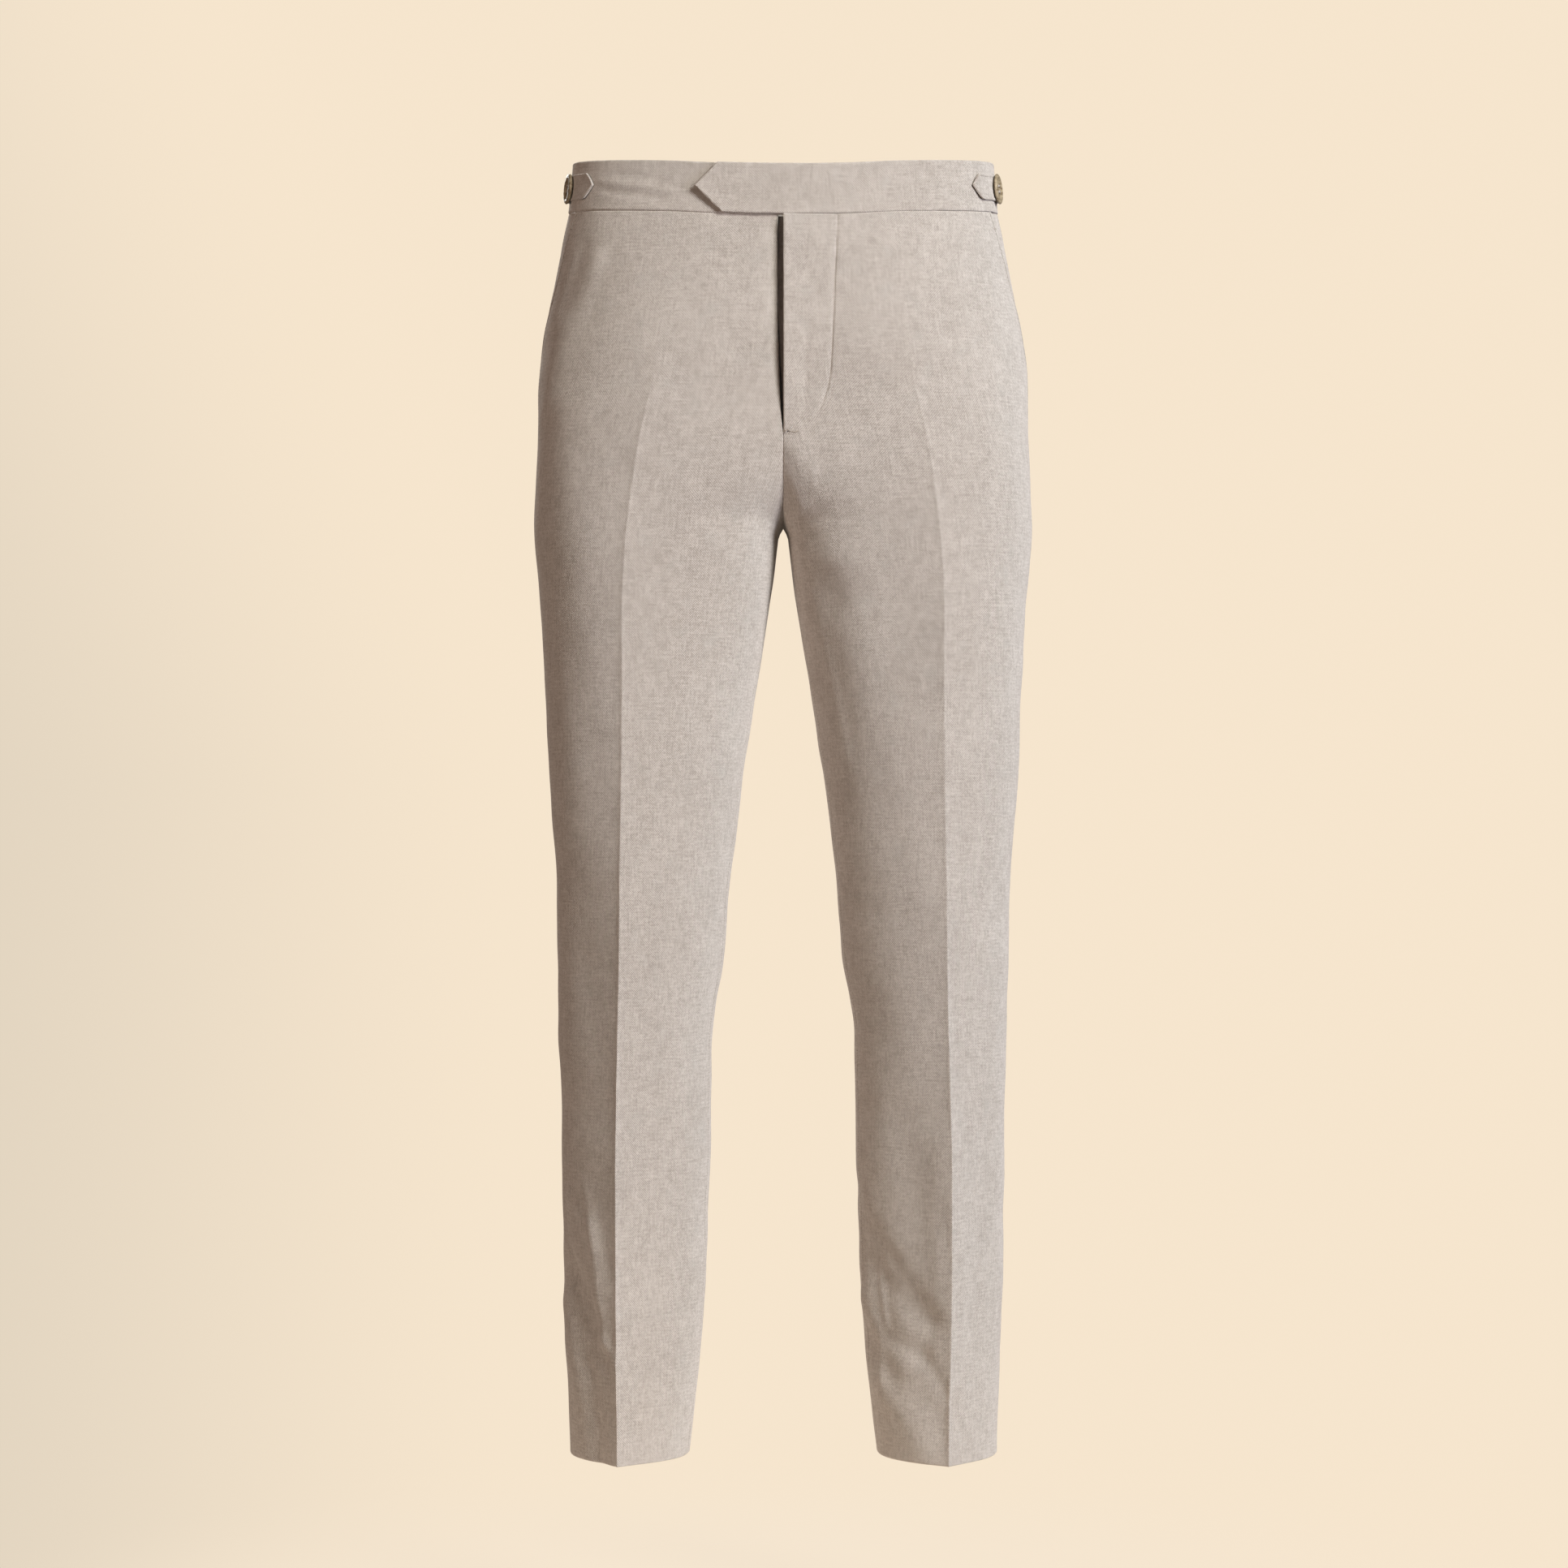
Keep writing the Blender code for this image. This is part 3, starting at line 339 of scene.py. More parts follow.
# How finely the cloth is cut
FINE = 90
EDGE_STEPS = (0.0, 0.0003, 0.0006, 0.0010, 0.0015, 0.0024, 0.0040)
MOUTH_STEPS = (
    0.0, 0.0003, 0.0006, 0.0010, 0.0015, 0.0022, 0.0027, 0.0031, 0.0035, 0.0039, 0.0043, 0.0050, 0.0070,
)
CREASE_STEPS = (0.0, 0.0005, 0.0010, 0.0016, 0.0026, 0.0042)
HEM_STEPS = (0.0, 0.0004, 0.0008, 0.0014, 0.0025, 0.0045)
FLY_STEPS = (0.0, 0.0004, 0.0008, 0.0013, 0.0020, 0.0028, *np.arange(0.0038, 0.0480, 0.0010))
LEG_STEP = 0.0045
HIP_STEP = 0.0028

# Where each piece was cut from the cloth, so that no two have the same threads
LAYOUT = {
    "front_left": (0.0, 0.0), "front_right": (0.53, 0.11),
    "back_left": (1.13, 0.37), "back_right": (1.71, 0.05),
    "waistband_left": (2.3, 0.2), "waistband_right": (3.3, 0.6), "pocket_facing_left": (4.1, 0.1),
    "pocket_facing_right": (4.3, 0.3), "side_tab_left": (4.5, 0.7), "side_tab_right": (4.9, 0.9),
    "fly_underlap": (5.3, 0.4),
}


def smoothstep(x):
    x = np.clip(x, 0.0, 1.0)
    return x * x * (3.0 - 2.0 * x)


def read(columns, rows, name, height):
    """One column of a table at any height, on a smooth curve through its rows."""
    table = np.array(rows, dtype=float)
    x = table[:, 0]
    y = table[:, columns.index(name)]
    slope = np.gradient(y, x)
    height = np.clip(height, x[0], x[-1])
    row = np.clip(np.searchsorted(x, height) - 1, 0, len(x) - 2)
    span = x[row + 1] - x[row]
    t = (height - x[row]) / span
    bend_0 = slope[row] * span
    bend_1 = slope[row + 1] * span
    rise = y[row + 1] - y[row]
    return y[row] + t * (bend_0 + t * (3 * rise - 2 * bend_0 - bend_1 + t * (bend_0 + bend_1 - 2 * rise)))


def centre_seam(height, quarter, name, sign):
    depth, rise = quarter
    share = np.clip((height - CROTCH_HEIGHT) / rise, 0.0, 1.0)
    curve = CROTCH_Y + sign * depth * np.sqrt(1.0 - (1.0 - share) ** 2)
    return np.where(share < 1.0, curve, read(CENTRE_COLUMNS, CENTRE_ROWS, name, height))


def fork_angle(height, fork):
    reach, power = fork
    share = np.clip((height - CROTCH_HEIGHT) / reach, 0.0, 1.0)
    return math.pi / 2 * (1.0 - share) ** power


def corners(height):
    """The five points that a section runs through, each with the direction it arrives in and leaves in."""
    side = {name: read(SIDE_COLUMNS, SIDE_ROWS, name, height) for name in SIDE_COLUMNS[1:]}
    crease = {name: read(CREASE_COLUMNS, CREASE_ROWS, name, height) for name in CREASE_COLUMNS[1:]}
    below = height <= CROTCH_HEIGHT
    inner = side["inner"] * np.sqrt(np.clip((CROTCH_HEIGHT - height) / ARCH_HEIGHT, 0.0, 1.0))
    front_y = np.where(below, side["inner_y"], centre_seam(height, CROTCH_FRONT, "front", -1))
    back_y = np.where(below, side["inner_y"], centre_seam(height, CROTCH_BACK, "back", 1))

    def heading(angle, x_sign, y_sign):
        return np.stack((x_sign * np.cos(angle), y_sign * np.sin(angle)), axis=-1)

    def point(x, y):
        return np.stack((x, y), axis=-1)

    up = heading(np.full_like(height, math.pi / 2), 1, 1)
    return (
        (point(inner, front_y), None, heading(fork_angle(height, FORK_FRONT), 1, -1)),
        (
            point(crease["front_x"], crease["front_y"]),
            heading(np.radians(crease["front_in"]), 1, 1),
            heading(np.radians(crease["front_out"]), 1, 1),
        ),
        (point(side["outer"], side["outer_y"]), up, up),
        (
            point(crease["back_x"], crease["back_y"]),
            heading(np.radians(crease["back_in"]), -1, 1),
            heading(np.radians(crease["back_out"]), -1, -1),
        ),
        (point(inner, back_y), heading(fork_angle(height, FORK_BACK), -1, -1), None),
        (crease["inner_reach"], crease["crease_reach"]),
    )


def cubic(controls, t):
    """Points of a cubic curve."""
    start, first, second, end = controls
    return (1 - t) ** 3 * start + 3 * (1 - t) ** 2 * t * first + 3 * (1 - t) * t**2 * second + t**3 * end


def trimmed(controls, depth, t):
    """The part of a leg's curve that lies beyond a depth, drawn in to the centre plane where it starts."""
    sign = np.sign(controls[3][..., 1:] - controls[0][..., 1:])
    low, high = np.zeros_like(t), np.ones_like(t)
    for _ in range(TRIM_HALVINGS):
        middle = (low + high) / 2
        short = sign * (cubic(controls, middle)[..., 1:] - depth) < 0
        low, high = np.where(short, middle, low), np.where(short, high, middle)
    points = cubic(controls, low + (1 - low) * t)
    points[..., :1] -= cubic(controls, low)[..., :1] * (1 - t)
    return points


def surface(height, turn):
    """Points on the outer face of the cloth, on the wearer's left."""
    height, turn = np.broadcast_arrays(np.asarray(height, float), np.asarray(turn, float))
    turn = np.where(height <= CROTCH_HEIGHT, np.mod(turn, 4.0), np.clip(turn, 0.0, 4.0))
    stops = corners(height)
    quarter = np.clip(np.floor(turn), 0, 3)
    t = (turn - quarter)[..., None]
    plan = np.zeros(height.shape + (2,))
    parted = 1 - smoothstep((height - CROTCH_HEIGHT) / FORK_EASE)[..., None]
    lowest = np.array((0.0, CROTCH_Y))
    for index in range(4):
        start, _, leaving = stops[index]
        end, arriving, _ = stops[index + 1]
        chord = np.linalg.norm(end - start, axis=-1, keepdims=True)
        near, far = (share[..., None] for share in stops[5]) if index == 0 else (HANDLE, HANDLE)
        if index == 1:
            flat = smoothstep((FACET_TOP[0] - height) / FACET_TOP[1])[..., None]
            near = HANDLE + (FACET_HANDLE - HANDLE) * flat
        points = cubic((start, start + near * chord * leaving, end - far * chord * arriving, end), t)
        part = (quarter == index) & (height > CROTCH_HEIGHT) & (parted[..., 0] > 0)
        if index in (0, 3) and part.any():
            crease, heading = (end[part], -arriving[part]) if index == 0 else (start[part], leaving[part])
            reach = FORK_REACH[index == 3]
            down = np.stack((np.zeros(len(crease)), np.sign(crease[:, 1] - CROTCH_Y)), axis=-1)
            length = np.linalg.norm(crease - lowest, axis=-1, keepdims=True)
            foot = np.broadcast_to(lowest, crease.shape)
            leg = (foot, foot + reach[0] * length * down, crease + reach[1] * length * heading, crease)
            centre, along = (start, t) if index == 0 else (end, 1 - t)
            apart = trimmed(leg, centre[part][:, 1:], along[part])
            points[part] += parted[part] * (apart - points[part])
        plan = np.where((quarter == index)[..., None], points, plan)
    return np.concatenate((plan, (height - WAIST_HEIGHT)[..., None]), axis=-1)


def outward(height, turn, aside=0.01):
    """Unit normals of the surface, on the wearer's left."""
    height, turn = np.broadcast_arrays(np.asarray(height, float), np.asarray(turn, float))
    step = 0.0004
    across = surface(height, turn + aside) - surface(height, turn - aside)
    on_leg = height <= CROTCH_HEIGHT
    top = height + np.where(on_leg, 0.0, step)
    foot = np.where(on_leg, height - 2 * step, np.maximum(height - step, CROTCH_HEIGHT + step / 4))
    normal = np.cross(across, surface(top, turn) - surface(foot, turn))
    return normal / np.linalg.norm(normal, axis=-1, keepdims=True)


def waist_rise(turn):
    swing = np.cos(np.pi * np.clip(turn, 0.0, 4.0) / 4)
    return np.where(swing > 0, -FRONT_DIP * np.abs(swing) ** DIP_POWER, BACK_RISE * np.abs(swing))


def inseam_turn(height):
    return INSEAM_TURN * smoothstep((CROTCH_HEIGHT - height) / INSEAM_EASE)


def centre_heights(quarter, name, sign, centre_turn):
    """Heights at even distances along the centre seam, from the crotch to the waist seam."""
    top = SIDE_SEAM_TOP + float(waist_rise(centre_turn))
    height = CROTCH_HEIGHT + (top - CROTCH_HEIGHT) * np.linspace(0, 1, 400) ** 2
    depth = centre_seam(height, quarter, name, sign)
    length = np.concatenate(([0.0], np.cumsum(np.hypot(np.diff(height), np.diff(depth)))))
    return length / length[-1], height


CENTRE_FRONT = centre_heights(CROTCH_FRONT, "front", -1, 0.0)
CENTRE_BACK = centre_heights(CROTCH_BACK, "back", 1, 4.0)


def level_height(level, turn):
    """Height of a cross line: level -1 is the hem, 0 the crotch and 1 the waist seam."""
    turn = np.asarray(turn, float)
    if level <= 0:
        return np.full_like(turn, CROTCH_HEIGHT * (1 + level))
    side = CROTCH_HEIGHT + (SIDE_SEAM_TOP - CROTCH_HEIGHT) * level
    height = side + waist_rise(turn) * level**2
    front = np.interp(level, *CENTRE_FRONT) - side - float(waist_rise(0.0)) * level**2
    back = np.interp(level, *CENTRE_BACK) - side - float(waist_rise(4.0)) * level**2
    return height + front * np.clip(1 - turn, 0.0, 1.0) ** 2 + back * np.clip(turn - 3, 0.0, 1.0) ** 2


def fold_rise(points, side):
    """How far the soft folds push these points out or in."""
    total = np.zeros(points.shape[:-1])
    for row in FOLD_ROWS:
        fold = dict(zip(FOLD_COLUMNS, row))
        if fold["side"] != side:
            continue
        start = surface(fold["height_a"], fold["turn_a"])
        line = surface(fold["height_b"], fold["turn_b"]) - start
        share = np.clip((points - start) @ line / (line @ line), 0.0, 1.0)
        away = np.linalg.norm(points - start - share[..., None] * line, axis=-1)
        total += fold["rise"] * np.exp(-((away / fold["half_width"]) ** 2))
    return total


def ripple(points, height):
    """The slight unevenness of cloth that hangs: a sum of long low waves, upright ones and level ones."""
    rng = np.random.default_rng(11)
    total = np.zeros(points.shape[:-1])
    for index in range(WAVES):
        length = rng.uniform(0.028, 0.110)
        tilt = rng.normal(0.0, 0.35) + (math.pi / 2 if index < WAVES // 2 else 0.0)
        along = np.array((math.cos(tilt), rng.normal(0.0, 0.5), math.sin(tilt)))
        phase = points @ (along * 2 * math.pi / length) + rng.uniform(0, 2 * math.pi)
        total += 0.0016 * length * np.sin(phase)
    return total * height


def distances(height, turn):
    points = surface(height, turn)
    return np.concatenate(([0.0], np.cumsum(np.linalg.norm(np.diff(points, axis=0), axis=-1))))


def stations(length, near, far, step_count):
    """Distances along a line that are close together at both ends and even between them."""
    even = np.linspace(near[-1], length - far[-1], step_count + 1)
    return np.concatenate((near[:-1], even, length - np.array(far[:-1])[::-1]))


def run(level, first, last, near, far, step_count, near_gap=0.0, far_gap=0.0):
    """Stations along a cross line between two turns: their distances and their turns."""
    fine = np.linspace(first, last, FINE)
    length = distances(level_height(level, fine), fine)
    place = stations(length[-1] - near_gap - far_gap, near, far, step_count)
    return place, np.interp(place + near_gap, length, fine)


def roll(distance, shape):
    """How far a rounded edge falls away, at a distance from it."""
    depth, width = shape
    return depth * np.clip(1 - distance / width, 0.0, 1.0) ** 2


def at_centre(levels, from_centre):
    """1 along a centre seam, falling to 0 away from it and below the crotch."""
    return np.where(levels > 0, np.clip(1 - from_centre / SEAM_EASE, 0.0, 1.0), 0.0)


def keep_clear(points, side, crossing):
    """Keeps a panel to its side of the centre seam; the panel that crosses the centre ends just beyond it."""
    kept = points.copy()
    kept[..., 0] = side * np.maximum(side * points[..., 0] - crossing, SEAM / 2 - crossing)
    return kept


def placed(name, data):
    """A new object with this mesh, light or camera, in the scene."""
    made = bpy.data.objects.new(name, data)
    bpy.context.scene.collection.objects.link(made)
    return made


def cloth_piece(name, outer, inner, grain, side, material, layout):
    """A closed wall of cloth between two grids of points, with its grain as a UV map in metres."""
    rows, columns = outer.shape[:2]
    face = np.arange(rows * columns).reshape(rows, columns)
    back = face + rows * columns

    def quads(*corner):
        return np.stack(corner, axis=-1).reshape(-1, 4)

    faces = np.concatenate((
        quads(face[:-1, :-1], face[:-1, 1:], face[1:, 1:], face[1:, :-1]),
        quads(back[:-1, :-1], back[1:, :-1], back[1:, 1:], back[:-1, 1:]),
        quads(face[:-1, 0], face[1:, 0], back[1:, 0], back[:-1, 0]),
        quads(face[:-1, -1], back[:-1, -1], back[1:, -1], face[1:, -1]),
        quads(face[0, :-1], back[0, :-1], back[0, 1:], face[0, 1:]),
        quads(face[-1, :-1], face[-1, 1:], back[-1, 1:], back[-1, :-1]),
    ))
    if side < 0:
        faces = faces[:, ::-1]
    points = np.concatenate((outer.reshape(-1, 3), inner.reshape(-1, 3)))
    mesh = bpy.data.meshes.new(name)
    mesh.from_pydata(points.tolist(), [], faces.tolist())
    threads = np.concatenate((grain.reshape(-1, 2), grain.reshape(-1, 2))) + np.array(layout)
    corner_points = np.empty(len(mesh.loops), dtype=np.int32)
    mesh.loops.foreach_get("vertex_index", corner_points)
    mesh.uv_layers.new(name="Grain").data.foreach_set("uv", threads[corner_points].ravel().astype(np.float32))
    mesh.materials.append(material)
    mesh.shade_smooth()
    mesh.set_sharp_from_angle(angle=math.radians(50))
    return placed(name, mesh)


def declare(piece, node):
    """Attaches a piece of cloth to the root and hides the solid that it stands for."""
    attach(piece, "root")
    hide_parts(node)


def panel_levels(fly_rows):
    """Cross lines of a panel, close together at the hem, at the fly's foot and at the waist seam."""
    leg = stations(CROTCH_HEIGHT, HEM_STEPS, (0.0,), round(CROTCH_HEIGHT / LEG_STEP)) / CROTCH_HEIGHT - 1
    rise = SIDE_SEAM_TOP - CROTCH_HEIGHT
    hip = stations(rise - SEAM / 2, (0.0,), EDGE_STEPS, round(rise / HIP_STEP))[1:] / rise
    if fly_rows:
        foot = np.interp(FLY_BOTTOM + np.array((-0.0006, 0.0, 0.0006, 0.0014)), *CENTRE_FRONT[::-1])
        hip = np.sort(np.concatenate((hip, foot)))
    return np.concatenate((leg, hip))


def pocket_gap(side_height):
    share = (side_height - POCKET_BOTTOM) / (SIDE_SEAM_TOP - POCKET_BOTTOM)
    return SEAM / 2 + POCKET_SET * max(share, 0.0)


def crease_rise(away, height, fullness):
    """The pressed crease stands up as a narrow ridge, which fades out over the hips."""
    return fullness * np.exp(-((away / CREASE_WIDTH) ** 2)) * smoothstep((CREASE_TOP - height) / CREASE_FADE)


def seams(height, level, side_edge, centre_edge):
    """How far the rounded edges of a panel fall away, given the distance to its two upright edges."""
    rise = SIDE_SEAM_TOP - CROTCH_HEIGHT
    nearest = np.minimum(np.minimum(side_edge, centre_edge), (1 - level) * rise - SEAM / 2)
    return roll(nearest, ROLL) + roll(height, FOLDED_ROLL)


def fly_sink(from_centre, height):
    """How far the cloth under the fly's edge sinks, between the fly's foot and the waist seam."""
    depth, width = FLY_SINK
    below_waist = smoothstep((SIDE_SEAM_TOP - FRONT_DIP - height) / FLY_TOP)
    along = smoothstep((height - FLY_BOTTOM) / FLY_EASE) * below_waist
    return depth * np.clip(1 - from_centre / width, 0, 1) ** 2 * along


def panel_piece(name, side, material, grid, hanging, fine, from_crease, from_centre, crossing):
    """A panel that hangs off its surface by two amounts: soft folds, and fine relief on top of them."""
    height, turns, levels, face = grid
    hung = face + outward(height, turns, SOFT_ASIDE) * hanging[..., None]
    outer = hung + outward(height, turns) * fine[..., None]
    turned_up = HEM_WALL * smoothstep((HEM_HEIGHT - height) / HEM_EASE) + 0.4 * roll(height, FOLDED_ROLL)
    inner = hung - outward(height, turns, aside=0.03) * (WALL + turned_up)[..., None]
    mirror = np.array((side, 1, 1))
    joined = at_centre(levels, from_centre)
    outer[..., 0] += joined * (face[..., 0] - outer[..., 0])
    outer = keep_clear(outer * mirror, side, joined * crossing)
    inner = keep_clear(inner * mirror, side, joined * crossing)
    grain = np.stack((from_crease, height), axis=-1)
    return cloth_piece(f"cloth_{name}", outer, inner, grain, side, material, LAYOUT[name])


def front_panel(side, material, shape):
    name = "front_left" if side > 0 else "front_right"
    near_steps = FLY_STEPS if side > 0 else EDGE_STEPS
    near_count, far_count = (10, 22) if side > 0 else (24, 22)
    turns, levels, from_first, from_crease, to_side, centre, mouth = [], [], [], [], [], [], []
    for level in panel_levels(side > 0):
        centre_height = float(level_height(level, 0.0))
        first = float(inseam_turn(centre_height)) if level <= 0 else 0.0
        drawn = float(np.interp(centre_height, *zip(*FLY_GAPS))) if side < 0 else 0.0
        near_gap = SEAM / 2 + (drawn if level > 0 else 0.0)
        side_height = float(level_height(level, 2.0))
        place, turn = run(level, first, 1.0, near_steps, CREASE_STEPS, near_count, near_gap=near_gap)
        beyond, outer_turn = run(
            level, 1.0, 2.0, CREASE_STEPS, MOUTH_STEPS, far_count, far_gap=pocket_gap(side_height)
        )
        turns.append(np.concatenate((turn, outer_turn[1:])))
        from_first.append(np.concatenate((place, place[-1] + beyond[1:])))
        from_crease.append(from_first[-1] - place[-1])
        to_side.append(from_first[-1][-1] - from_first[-1])
        levels.append(np.full_like(turns[-1], level))
        centre.append(np.full_like(turns[-1], centre_height))
        mouth.append(np.full_like(turns[-1], float(side_height > POCKET_BOTTOM)))
    turns, levels, from_first, from_crease = map(np.array, (turns, levels, from_first, from_crease))
    to_side, centre, mouth = map(np.array, (to_side, centre, mouth))
    height = np.array([level_height(row[0], turn) for row, turn in zip(levels, turns)])
    face = surface(height, turns)
    hanging = fold_rise(face, side) * shape.fold_strength + ripple(face * (side, 1, 1), shape.ripple)
    edge = from_first.copy()
    if side > 0:
        above = centre > FLY_BOTTOM
        open_share = 0.3 + 0.7 * smoothstep((centre - FLY_BOTTOM) / FLY_EASE)
        lifted = FLY_LIFT * open_share * np.clip(1 - from_first / FLY_WIDTH, 0, 1) ** 1.4
        hanging += np.where(above, lifted, 0.0)
    else:
        hanging -= fly_sink(from_first, centre)
    fine = crease_rise(from_crease, height, shape.crease_rise)
    fine -= seams(height, levels, to_side, edge)
    sewn = mouth * smoothstep((height - POCKET_BOTTOM) / 0.006)
    inset, half_width, depth = MOUTH_STITCH
    fine -= sewn * depth * np.exp(-(((to_side - inset) / half_width) ** 2))
    inset, ease, swell = MOUTH_RIM
    fine += sewn * swell * smoothstep((inset - to_side) / ease)
    if side > 0:
        line = np.interp(height, *(np.array(CURVED_STITCH_ROWS)[:, (0, 1)].T))
        depth = np.interp(height, *(np.array(CURVED_STITCH_ROWS)[:, (0, 2)].T))
        sewn = above & (height > CURVED_STITCH_ROWS[0][0])
        fine += np.where(sewn, depth * smoothstep((line - from_first) / 0.0016), 0.0)
        flank = np.where(from_first < line, 0.0026, 0.0009)
        fine -= np.where(sewn, 1.5 * depth * np.exp(-(((from_first - line) / flank) ** 2)), 0.0)
        fine -= np.where(above, roll(from_first, FLY_EDGE) - roll(from_first, ROLL), 0.0)
    crossing = SEAM_ASIDE if side < 0 else 0.0
    grid = (height, turns, levels, face)
    return panel_piece(name, side, material, grid, hanging, fine, from_crease, from_first, crossing)


def back_panel(side, material, shape):
    name = "back_left" if side > 0 else "back_right"
    turns, levels, from_side, from_crease, to_centre = [], [], [], [], []
    for level in panel_levels(False):
        last = 4.0 + (float(inseam_turn(level_height(level, 4.0))) if level <= 0 else 0.0)
        place, turn = run(level, 2.0, 3.0, EDGE_STEPS, CREASE_STEPS, 26, near_gap=SEAM / 2)
        beyond, inner_turn = run(level, 3.0, last, CREASE_STEPS, EDGE_STEPS, 28, far_gap=SEAM / 2)
        turns.append(np.concatenate((turn, inner_turn[1:])))
        from_side.append(np.concatenate((place, place[-1] + beyond[1:])))
        from_crease.append(from_side[-1] - place[-1])
        to_centre.append(from_side[-1][-1] - from_side[-1])
        levels.append(np.full_like(turns[-1], level))
    turns, levels, from_side, from_crease, to_centre = map(
        np.array, (turns, levels, from_side, from_crease, to_centre)
    )
    height = np.array([level_height(row[0], turn) for row, turn in zip(levels, turns)])
    face = surface(height, turns)
    hanging = fold_rise(face, side) * shape.fold_strength + ripple(face * (side, 1, 1), shape.ripple)
    fine = crease_rise(from_crease, height, shape.crease_rise) - seams(height, levels, from_side, to_centre)
    in_dart = smoothstep((height - (SIDE_SEAM_TOP - DART_LENGTH)) / 0.030)
    fine -= in_dart * DART_DEPTH * np.exp(-((from_crease / DART_WIDTH) ** 2))
    crossing = SEAM_ASIDE if side > 0 else 0.0
    grid = (height, turns, levels, face)
    return panel_piece(name, side, material, grid, hanging, fine, from_crease, to_centre, crossing)


def pocket_facing(side, material):
    """The side piece: flush at the side seam, and behind the front from the pocket mouth on."""
    name = "pocket_facing_left" if side > 0 else "pocket_facing_right"
    rise = SIDE_SEAM_TOP - CROTCH_HEIGHT
    lowest = (FACING_BOTTOM - CROTCH_HEIGHT) / rise
    levels = np.concatenate((np.linspace(lowest, 0.99, 60), (1 - SEAM / 2 / rise,)))
    outer, inner, grain = [], [], []
    for level in levels:
        mouth = pocket_gap(float(level_height(level, 2.0)))
        fine = np.linspace(1.0, 2.0, FINE)
        length = distances(level_height(level, fine), fine)
        tucked = np.linspace(mouth + FACING_TUCK, mouth, 8)
        shown = stations(mouth - SEAM / 2, (0.0,), EDGE_STEPS, 8)[1:]
        gaps = np.concatenate((tucked, mouth - shown))
        turn = np.interp(length[-1] - gaps, length, fine)
        height = level_height(level, turn)
        share = np.clip((gaps - SEAM / 2) / (mouth - SEAM / 2), 0.0, 1.0)
        base = surface(height, turn) + outward(height, turn) * (-FACING_RECESS * share)[:, None]
        normal = outward(height, turn)
        fall = roll(gaps - SEAM / 2, ROLL)
        outer.append((base - normal * fall[:, None]) * (side, 1, 1))
        inner.append((base - normal * WALL) * (side, 1, 1))
        grain.append(np.stack((-gaps, height), axis=-1))
    return cloth_piece(
        f"cloth_{name}", np.array(outer), np.array(inner), np.array(grain), side, material, LAYOUT[name]
    )


def underlap(material):
    """The strip behind the fly, which crosses the centre."""
    across = np.linspace(*UNDERLAP_REACH, 31)
    top = SIDE_SEAM_TOP + float(waist_rise(0.0)) - UNDER
    outer, inner, grain = [], [], []
    for height in np.linspace(UNDERLAP_BOTTOM, top, 40):
        fine = np.linspace(0.0, 1.0, FINE)
        turn = np.interp(np.abs(across), distances(np.full_like(fine, height), fine), fine)
        mirror = np.stack((np.sign(across), np.ones_like(across), np.ones_like(across)), axis=-1)
        normal = outward(height, turn) * mirror
        sunk = WALL + UNDER + fly_sink(np.abs(across), height)
        face = surface(height, turn) * mirror - normal * sunk[:, None]
        outer.append(face)
        inner.append(face - normal * WALL)
        grain.append(np.stack((across, np.full_like(across, height)), axis=-1))
    return cloth_piece(
        "cloth_fly_underlap", np.array(outer), np.array(inner), np.array(grain), 1, material,
        LAYOUT["fly_underlap"],
    )


def ring():
    """Distances round the waist at half the waistband's height, against the turn."""
    turns = np.linspace(0.0, 4.0, 4 * 40 + 1)
    return distances(SIDE_SEAM_TOP + WAISTBAND_HEIGHT / 2 + waist_rise(turns), turns), turns


RING_DISTANCE, RING_TURN = ring()
SIDE_DISTANCE = float(np.interp(2.0, RING_TURN, RING_DISTANCE))


def waist_face(distance, rise, side):
    """Points and normals at a distance round the waist; below zero it has crossed the centre front."""
    distance, rise = np.broadcast_arrays(distance, rise)
    turn = np.interp(np.abs(distance), RING_DISTANCE, RING_TURN)
    height = SIDE_SEAM_TOP + waist_rise(turn) + rise
    mirror = np.stack((np.where(distance < 0, -side, side), np.ones_like(turn), np.ones_like(turn)), axis=-1)
    return surface(height, turn) * mirror, outward(height, turn) * mirror


def point_setback(share, tip_share, lengths):
    low, high = lengths
    down = np.clip((tip_share - share) / tip_share, 0.0, 1.0)
    over = np.clip((share - tip_share) / (1 - tip_share), 0.0, 1.0)
    return low * down + high * over


def band_fold_rise(distance, rise, side):
    """How far the soft folds of the waistband push these places out or in."""
    place = np.stack(np.broadcast_arrays(distance, rise), axis=-1)
    total = np.zeros(place.shape[:-1])
    for row in BAND_ROWS:
        fold = dict(zip(BAND_COLUMNS, row))
        if fold["side"] != side:
            continue
        start = np.array((fold["distance_a"], fold["rise_a"]))
        line = np.array((fold["distance_b"], fold["rise_b"])) - start
        share = np.clip((place - start) @ line / (line @ line), 0.0, 1.0)
        away = np.linalg.norm(place - start - share[..., None] * line, axis=-1)
        total += fold["rise"] * np.exp(-((away / fold["half_width"]) ** 2))
    return total


